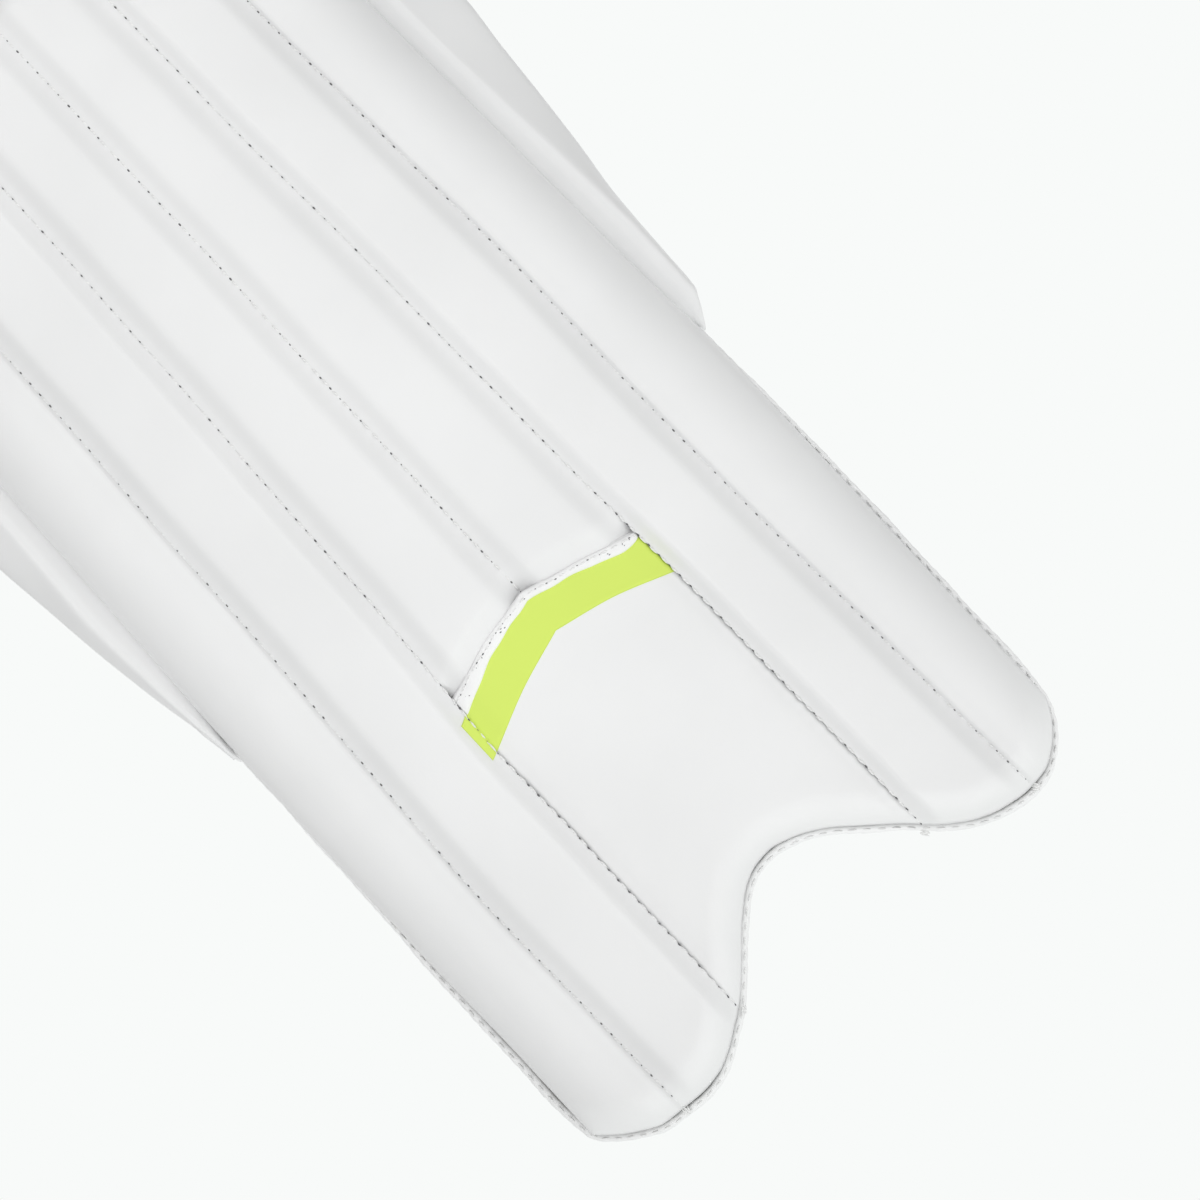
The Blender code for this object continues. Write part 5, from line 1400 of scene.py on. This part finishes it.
# ------------------------------------------------------------------ leg side
def shin_lining():
    s = np.linspace(-1, 1, 110)[None, :]
    x0 = mix(-106.0 + 2.6, 104.3 - 2.6, (s + 1) / 2)
    low = foot(x0) + 0.2
    t = np.linspace(0, 1, 200)[:, None]
    z = mix(low, SHIN_TOP - 0.3, t)
    x = mix(through(LEFT_REAR, z) + 2.6, through(RIGHT_REAR, z) - 2.6, (s + 1) / 2)
    p = np.stack([x, z], -1)
    near = np.min([np.abs(x - seamline(k, z)) for k in (1, 3, 5)], axis=0)
    back = -2.35 - 0.10 * ripple(p, 40.0, seed=22.0) - 0.25 * np.exp(-((near - 6.0) / 4.0) ** 2) + 1.0 * np.exp(-(near / 2.0) ** 2)
    for k in (1, 3, 5):
        zz = np.arange(float(foot(seamline(k, np.array(20.0)))) + 6.0, 424.0, 1.2)
        xx = seamline(k, zz)
        n = np.full_like(zz, -1.38)
        stitches("shin", at(xx, n, zz), -radial(xx, n, zz), pitch=4.85, long=3.3, radius=0.34, lift=0.08, seed=90 + k, name="stitching_shin_rear", hole_radius=0.36)
    obj = shell("shin_lining", at(x, -1.15 + 0 * x, z), at(x, back, z), LINING)
    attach(obj, "shin")
    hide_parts("shin_liner")


def shin_core():
    """The firm backing between the channels and the lining, seen only edge-on."""
    s = np.linspace(-1, 1, 60)[None, :]
    x0 = mix(-104.5 + 1.5, 103.5 - 1.5, (s + 1) / 2)
    low = foot(x0) + 0.4
    t = np.linspace(0, 1, 90)[:, None]
    z = mix(low, SHIN_TOP - 0.5, t)
    x = mix(through(LEFT_EDGE, z) + 1.5, through(RIGHT_EDGE, z) - 1.5, (s + 1) / 2)
    side = np.minimum(x - through(LEFT_EDGE, z), through(RIGHT_EDGE, z) - x)
    front = mix(1.6, 9.0, np.clip(np.minimum(side - 3.0, z - low - 1.0) / 16.0, 0, 1))
    obj = shell("shin_core", at(x, front, z), at(x, -0.9 + 0 * x, z), FOAM)
    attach(obj, "shin")
    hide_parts("shin_backing")


shin_core()
shin_lining()


def stuffed_bar(name, x0, x1, z0, z1, n_crown, body, node_name, upright=True, seams=(), mat=None, bulge=1.0):
    """A soft roll sewn to the lining: flat behind, full towards the leg, with sewn lines across or along it."""
    rows, cols = (170, 46) if upright else (46, 170)
    v = np.linspace(-1, 1, rows)[:, None]
    u = np.linspace(-1, 1, cols)[None, :]
    across, along = (u, v) if upright else (v, u)
    half_a = (x1 - x0) / 2 if upright else (z1 - z0) / 2
    half_l = (z1 - z0) / 2 if upright else (x1 - x0) / 2
    # a rounded-corner outline, so that the ends are round
    end = (1 - np.abs(along)) * half_l
    pinch = mix(0.40, 1.0, np.clip(end / (half_a * 0.9), 0, 1) ** 0.5) if upright else mix(0.62, 1.0, np.clip(end / (half_a * 0.8), 0, 1) ** 0.5)
    a = across * pinch
    x = (x0 + x1) / 2 + (a if upright else along + 0 * a) * (x1 - x0) / 2
    z = (z0 + z1) / 2 + (along + 0 * a if upright else a) * (z1 - z0) / 2
    side = (1 - np.abs(across)) * half_a
    high = round_end(side * 0.9 + 0.05, half_a * 0.85) * round_end(end + 0.05, 12.0)
    for where in seams:                                      # fractions along the bar where it is sewn down
        d = np.abs(along - where) * half_l
        high = high * (1 - 0.55 * np.exp(-(d / 3.2) ** 2) - 0.12 * np.exp(-d / 1.0))
    p = np.stack([x, z], -1)
    gather = 0.35 * np.exp(-side / 3.0) * np.cos((along * half_l) * 2 * math.pi / 7.5 + 2.1 * np.sin(along * 6))
    thick = (-2.5 - n_crown) * high * bulge + (gather + 0.28 * ripple(p, 24.0, seed=30.0 + abs(x0) % 7)) * high
    n = -2.5 - thick
    under = at(x, -2.45 + 0 * x, z)
    obj = shell(name, under, at(x, n, z), mat or LINING_SOFT)
    outward(obj)
    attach(obj, body)
    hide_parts(node_name)
    # stitches round it, on the lining
    q = np.linspace(0, 1, 300)
    if upright:
        line = [((x0 - 0.9, z) if e < 0 else (x1 + 0.9, z)) for e in (-1, 1) for z in (np.linspace(z0 + 9, z1 - 9, 200) if e < 0 else np.linspace(z1 - 9, z0 + 9, 200))]
    else:
        line = [((x, z0 - 0.9) if e < 0 else (x, z1 + 0.9)) for e in (-1, 1) for x in (np.linspace(x0 + 7, x1 - 7, 200) if e < 0 else np.linspace(x1 - 7, x0 + 7, 200))]
    line = np.array(line)
    for part in (line[:200], line[200:]):
        n_l = np.full(len(part), -2.42)
        stitches(body, at(part[:, 0], n_l, part[:, 1]), -radial(part[:, 0], n_l, part[:, 1]), pitch=5.0, long=3.4, radius=0.34, lift=0.1, seed=90, name="stitching_lining_" + body, hole=False)
    for where in seams:
        c = mix(z0, z1, (where + 1) / 2) if upright else mix(x0, x1, (where + 1) / 2)
        t = np.linspace(-0.8, 0.8, 40)
        if upright:
            xx, zz = (x0 + x1) / 2 + t * (x1 - x0) / 2, np.full(40, c)
        else:
            xx, zz = np.full(40, c), (z0 + z1) / 2 + t * (z1 - z0) / 2
        hh = round_end((1 - np.abs(t)) * half_a * 0.9, half_a * 0.85) * (1 - 0.67)
        nn = -2.5 - (-2.5 - n_crown) * hh * bulge - 0.25
        stitches(body, at(xx, nn, zz), -radial(xx, nn, zz), pitch=4.6, long=3.1, radius=0.33, lift=0.1, seed=93, name="stitching_lining_" + body, hole=False)
    return obj


stuffed_bar("inner_bolster_left_stuffed", -52, -18, 58, 384, -18.6, "shin", "inner_bolster_left", seams=(-0.5, 0.0, 0.5))
stuffed_bar("inner_bolster_right_stuffed", 18, 52, 58, 384, -18.6, "shin", "inner_bolster_right", seams=(-0.5, 0.0, 0.5))
stuffed_bar("lower_knee_locator_stuffed", -64, 64, 392, 423, -16.6, "shin", "lower_knee_locator", upright=False, seams=(-0.34, 0.34))
stuffed_bar("knee_cup_stuffed", -50, 50, ROLL_Z[1][0] + 3, ROLL_Z[1][1] - 3, -14.6, "middle_roll", "knee_cup", upright=False, seams=(-0.36, 0.36))
stuffed_bar("upper_knee_locator_stuffed", -62, 62, HAT_BOTTOM + 8, HAT_BOTTOM + 40, -14.6, "top_hat", "upper_knee_locator", upright=False, seams=(-0.34, 0.34))


# ------------------------------------------------------------------ straps
def arc(points, count):
    """Points spaced evenly by length along a smooth line through plan points."""
    p = [np.array(q, float) for q in points]
    fine = spline(np.array(p), 24)
    run = np.concatenate([[0], np.cumsum(np.linalg.norm(np.diff(fine, axis=0), axis=1))])
    want = np.linspace(0, run[-1], count)
    return np.stack([np.interp(want, run, fine[:, i]) for i in range(2)], -1)


def sideways(line):
    d = unit(np.gradient(line, axis=0))
    return np.stack([-d[:, 1], d[:, 0]], -1)


def webbing(name, line, low, high, near, far, mat, body, nodes=(), edge_stitch=True, round_ends=(0.0, 0.0), wave=0.0, sew_seed=5, sew_faces=(1, -1), fray=0.0, sew_from=0.0, ride=True):
    """A flat band on edge along plan points in mm, from near to far on their left, with softly rounded selvedges."""
    line = np.asarray(line, float)
    run = np.concatenate([[0], np.cumsum(np.linalg.norm(np.diff(line, axis=0), axis=1))])
    count = max(12, int(run[-1] / 1.6))
    s = np.linspace(0, run[-1], count)
    line = np.stack([np.interp(s, run, line[:, i]) for i in range(2)], -1)
    for _ in range(8):
        line[1:-1] = 0.25 * line[:-2] + 0.5 * line[1:-1] + 0.25 * line[2:]
    normal = sideways(line)
    mid, thick = (near + far) / 2, abs(far - near) / 2
    v = np.linspace(-1, 1, 17)
    v = np.sign(v) * np.abs(v) ** 0.8
    ends = np.ones((count, 1))
    for i, r in enumerate(round_ends):
        if r > 0:
            d = (s if i == 0 else run[-1] - s)[:, None]
            ends = np.minimum(ends, 1 - (r / ((high - low) / 2)) * (1 - round_end(d + 0.05, r)))
    zc, tall = (low + high) / 2, (high - low) / 2
    z = zc + v[None, :] * tall * ends
    cushion_edge = (1 - np.clip((np.abs(v) - 0.93) / 0.07, 0, 1) ** 2 * 0.55)[None, :]
    ripple_n = wave * np.sin(s / 9.0)[:, None] * np.sin(v * 2.2)[None, :]
    rib = 0.10 * np.cos(v * 9.4)[None, :] * thick
    front = line[:, None, :] + normal[:, None, :] * (mid + (thick + rib) * cushion_edge + ripple_n)[..., None]
    back = line[:, None, :] + normal[:, None, :] * (mid - (thick + rib) * cushion_edge + ripple_n)[..., None]
    f3 = np.concatenate([front, z[..., None]], -1) * MM
    b3 = np.concatenate([back, z[..., None]], -1) * MM
    obj = shell(name, f3, b3, mat)
    outward(obj)
    if ride:
        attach(obj, body)
    if nodes:
        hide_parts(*nodes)
    if edge_stitch:
        for sign in (-1, 1):
            for face in sew_faces:
                inner = slice(max(3, int(sew_from / 1.6)), count - 3)
                pts = np.concatenate([line + normal * (mid + face * thick * 1.02), (zc + sign * (tall - 2.6) * ends)], -1)[inner] * MM
                outs = np.concatenate([normal * face, np.zeros((count, 1))], -1)[inner]
                stitches(body, pts, outs, pitch=4.2, long=2.9, radius=0.30, lift=0.12, seed=sew_seed, name="stitching_" + name, hole=False)
    return obj, line, normal, mid, thick


def box_sew(body, line, normal, lift, low, high, name, inset=3.0, face=1):
    """The square of stitches with a cross that holds a sewn end."""
    line = np.asarray(line, float)
    run = np.concatenate([[0], np.cumsum(np.linalg.norm(np.diff(line, axis=0), axis=1))])
    total = run[-1]

    def put(s, z):
        s, z = np.asarray(s, float), np.asarray(z, float)
        p = np.stack([np.interp(s, run, line[:, i]) for i in range(2)], -1)
        nn = np.stack([np.interp(s, run, normal[:, i]) for i in range(2)], -1)
        nn = unit(nn)
        return np.concatenate([p + nn * lift, z[:, None]], -1) * MM, np.concatenate([nn * face, np.zeros((len(s), 1))], -1)
    a, b, l, h = inset, total - inset, low + inset, high - inset
    sides = [((a, l), (b, l)), ((b, l), (b, h)), ((b, h), (a, h)), ((a, h), (a, l)), ((a, l), (b, h)), ((a, h), (b, l))]
    for i, (p, q) in enumerate(sides):
        t = np.linspace(0, 1, 30)
        pts, outs = put(mix(p[0], q[0], t), mix(p[1], q[1], t))
        stitches(body, pts, outs, pitch=3.6, long=2.5, radius=0.30, lift=0.10, seed=100 + i, name=name, hole=False)


def rear_line(x0, x1, z, n, steps=24):
    x = np.linspace(x0, x1, steps + 1)
    return at(x, np.full_like(x, n), np.full_like(x, z))[:, :2] / MM


def plan(x, n, z):
    return at(x, n, z)[:2] / MM


STRAP_HALF, PATCH_LIFT = 1.1, 0.95
LIE = PATCH_LIFT + 1.3 + 0.4 + 1.1 + 0.35 + STRAP_HALF


def rear_strap(name, z, tall, x_end, deep, body):
    low, high = z - tall / 2, z + tall / 2
    start = plan(-x_end + 1.5, LINER_N - 4.6, z) - np.array([0.5, 2.4])
    _, line, normal, mid, thick = webbing(name + "_anchor_tab", rear_line(-x_end - 1.0, -x_end + 22, z, LINER_N - PATCH_LIFT + 0.5), low + 1, high - 1, 0.0, 2.2, WEBBING, body, [name + "_anchor"], edge_stitch=False)
    box_sew(body, line, normal, 2.3, low + 1, high - 1, "stitching_" + name + "_tab")
    _, line, normal, mid, thick = webbing(name + "_loop_tape", rear_line(x_end - 27, x_end, z, LINER_N - PATCH_LIFT + 0.5), low + 1, high - 1, 0.0, 1.6, LOOP, body, [name + "_loop_patch"], edge_stitch=False)
    box_sew(body, line, normal, 1.75, low + 1, high - 1, "stitching_" + name + "_tab", inset=1.8)
    lie = rear_line(x_end - 24, x_end - 2, z, LINER_N - LIE, 4)
    turn = lie[0]
    route = [start, start + np.array([3.0, 14.0]), (-x_end * 0.87, mix(start[1], deep, 0.55)), (-x_end * 0.55, deep * 0.86), (0.0, deep),
             (x_end * 0.5, deep * 0.86), (x_end * 0.74, mix(turn[1], deep, 0.5)), (turn[0] - 4.0, turn[1] + 17), (turn[0] - 1.5, turn[1] + 5.0), lie[1]]
    line = np.concatenate([arc(route, 180), lie[2:]])
    band = webbing(name + "_webbing", line, low, high, -STRAP_HALF, STRAP_HALF, WEBBING, name, [name], round_ends=(0.0, 7.0), wave=0.25, sew_seed=7, sew_from=13.0, ride=False)[0]
    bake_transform(band)
    hook = rear_line(x_end - 18, x_end - 3, z, LINER_N - PATCH_LIFT - 1.7)
    webbing(name + "_hook_tape", hook, low + 2, high - 2, 0.0, 1.1, HOOK, name, [name + "_hook_patch"], edge_stitch=False)


rear_strap("ankle_strap", 110.0, 38.0, 103.0, 36.0, "shin")
rear_strap("knee_strap", 504.0, 36.0, 110.0, 62.0, "middle_roll")


def wing_line(side, z, t0, t1, d, steps):
    """Points along a wing's outer face from station t0 to t1, lifted outwards by d."""
    outer = wing_section(side, z)[0]
    made = []
    for j in range(steps + 1):
        t = mix(t0, t1, j / steps)
        i = min(int(t), len(outer) - 2)
        tangent = unit(outer[i + 1] - outer[i])
        if abs(t - round(t)) < 1e-6 and 0 < round(t) < len(outer) - 1:
            i = round(t)
            tangent = unit(outer[i + 1] - outer[i - 1])
        out = np.array([tangent[1], -tangent[0]]) * side
        k = min(int(t), len(outer) - 2)
        made.append(outer[k] + (outer[k + 1] - outer[k]) * (t - k) + out * d)
    return np.array(made)


CALF_Z, CALF_TALL, WING_LIFT = 350.0, 38.0, 1.2
calf_low, calf_high = CALF_Z - CALF_TALL / 2, CALF_Z + CALF_TALL / 2
_, line, normal, mid, thick = webbing("calf_strap_anchor_tab", wing_line(-1, CALF_Z, 6.25, 8.0, WING_LIFT - 0.4, 7), calf_low + 1, calf_high - 1, 0.0, 2.3, WEBBING, "left_wing", ["calf_strap_anchor"], edge_stitch=False)
box_sew("left_wing", line, normal, 2.45, calf_low + 1, calf_high - 1, "stitching_calf_strap_tab")
_, line, normal, mid, thick = webbing("calf_strap_loop_tape", wing_line(1, CALF_Z, 8.75, 6.75, WING_LIFT - 0.4, 8), calf_low + 1, calf_high - 1, 0.0, 1.6, LOOP, "right_wing", ["calf_strap_loop_patch"], edge_stitch=False)
box_sew("right_wing", line, normal, 1.75, calf_low + 1, calf_high - 1, "stitching_calf_strap_loop", inset=1.8)
calf_end = wing_line(1, CALF_Z, 8.5, 7.0, WING_LIFT - PATCH_LIFT + LIE, 6)
calf_sewn = wing_line(-1, CALF_Z, 7.5, 7.95, 4.35, 1)
calf_start = np.concatenate([calf_sewn, wing_line(-1, CALF_Z, 8.2, 8.6, 5.0, 1)])
calf_route = list(calf_start) + [(-84, 66), (-45, 82), (0, 87), (45, 82), (82, 66)] + [calf_end[0], calf_end[1]]
calf_line = np.concatenate([arc(calf_route, 180), calf_end[2:]])
calf_webbing = webbing("calf_strap_webbing", calf_line, calf_low, calf_high, -STRAP_HALF, STRAP_HALF, WEBBING, "calf_strap", ["calf_strap"], round_ends=(0.0, 7.0), wave=0.25, sew_seed=8, sew_from=19.0, ride=False)[0]
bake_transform(calf_webbing)
webbing("calf_strap_hook_tape", wing_line(1, CALF_Z, 8.5, 7.25, WING_LIFT + 1.7, 5), calf_low + 2, calf_high - 2, 0.0, 1.1, HOOK, "calf_strap", ["calf_strap_hook_patch"], edge_stitch=False)

build_threads(THREAD, HOLE)
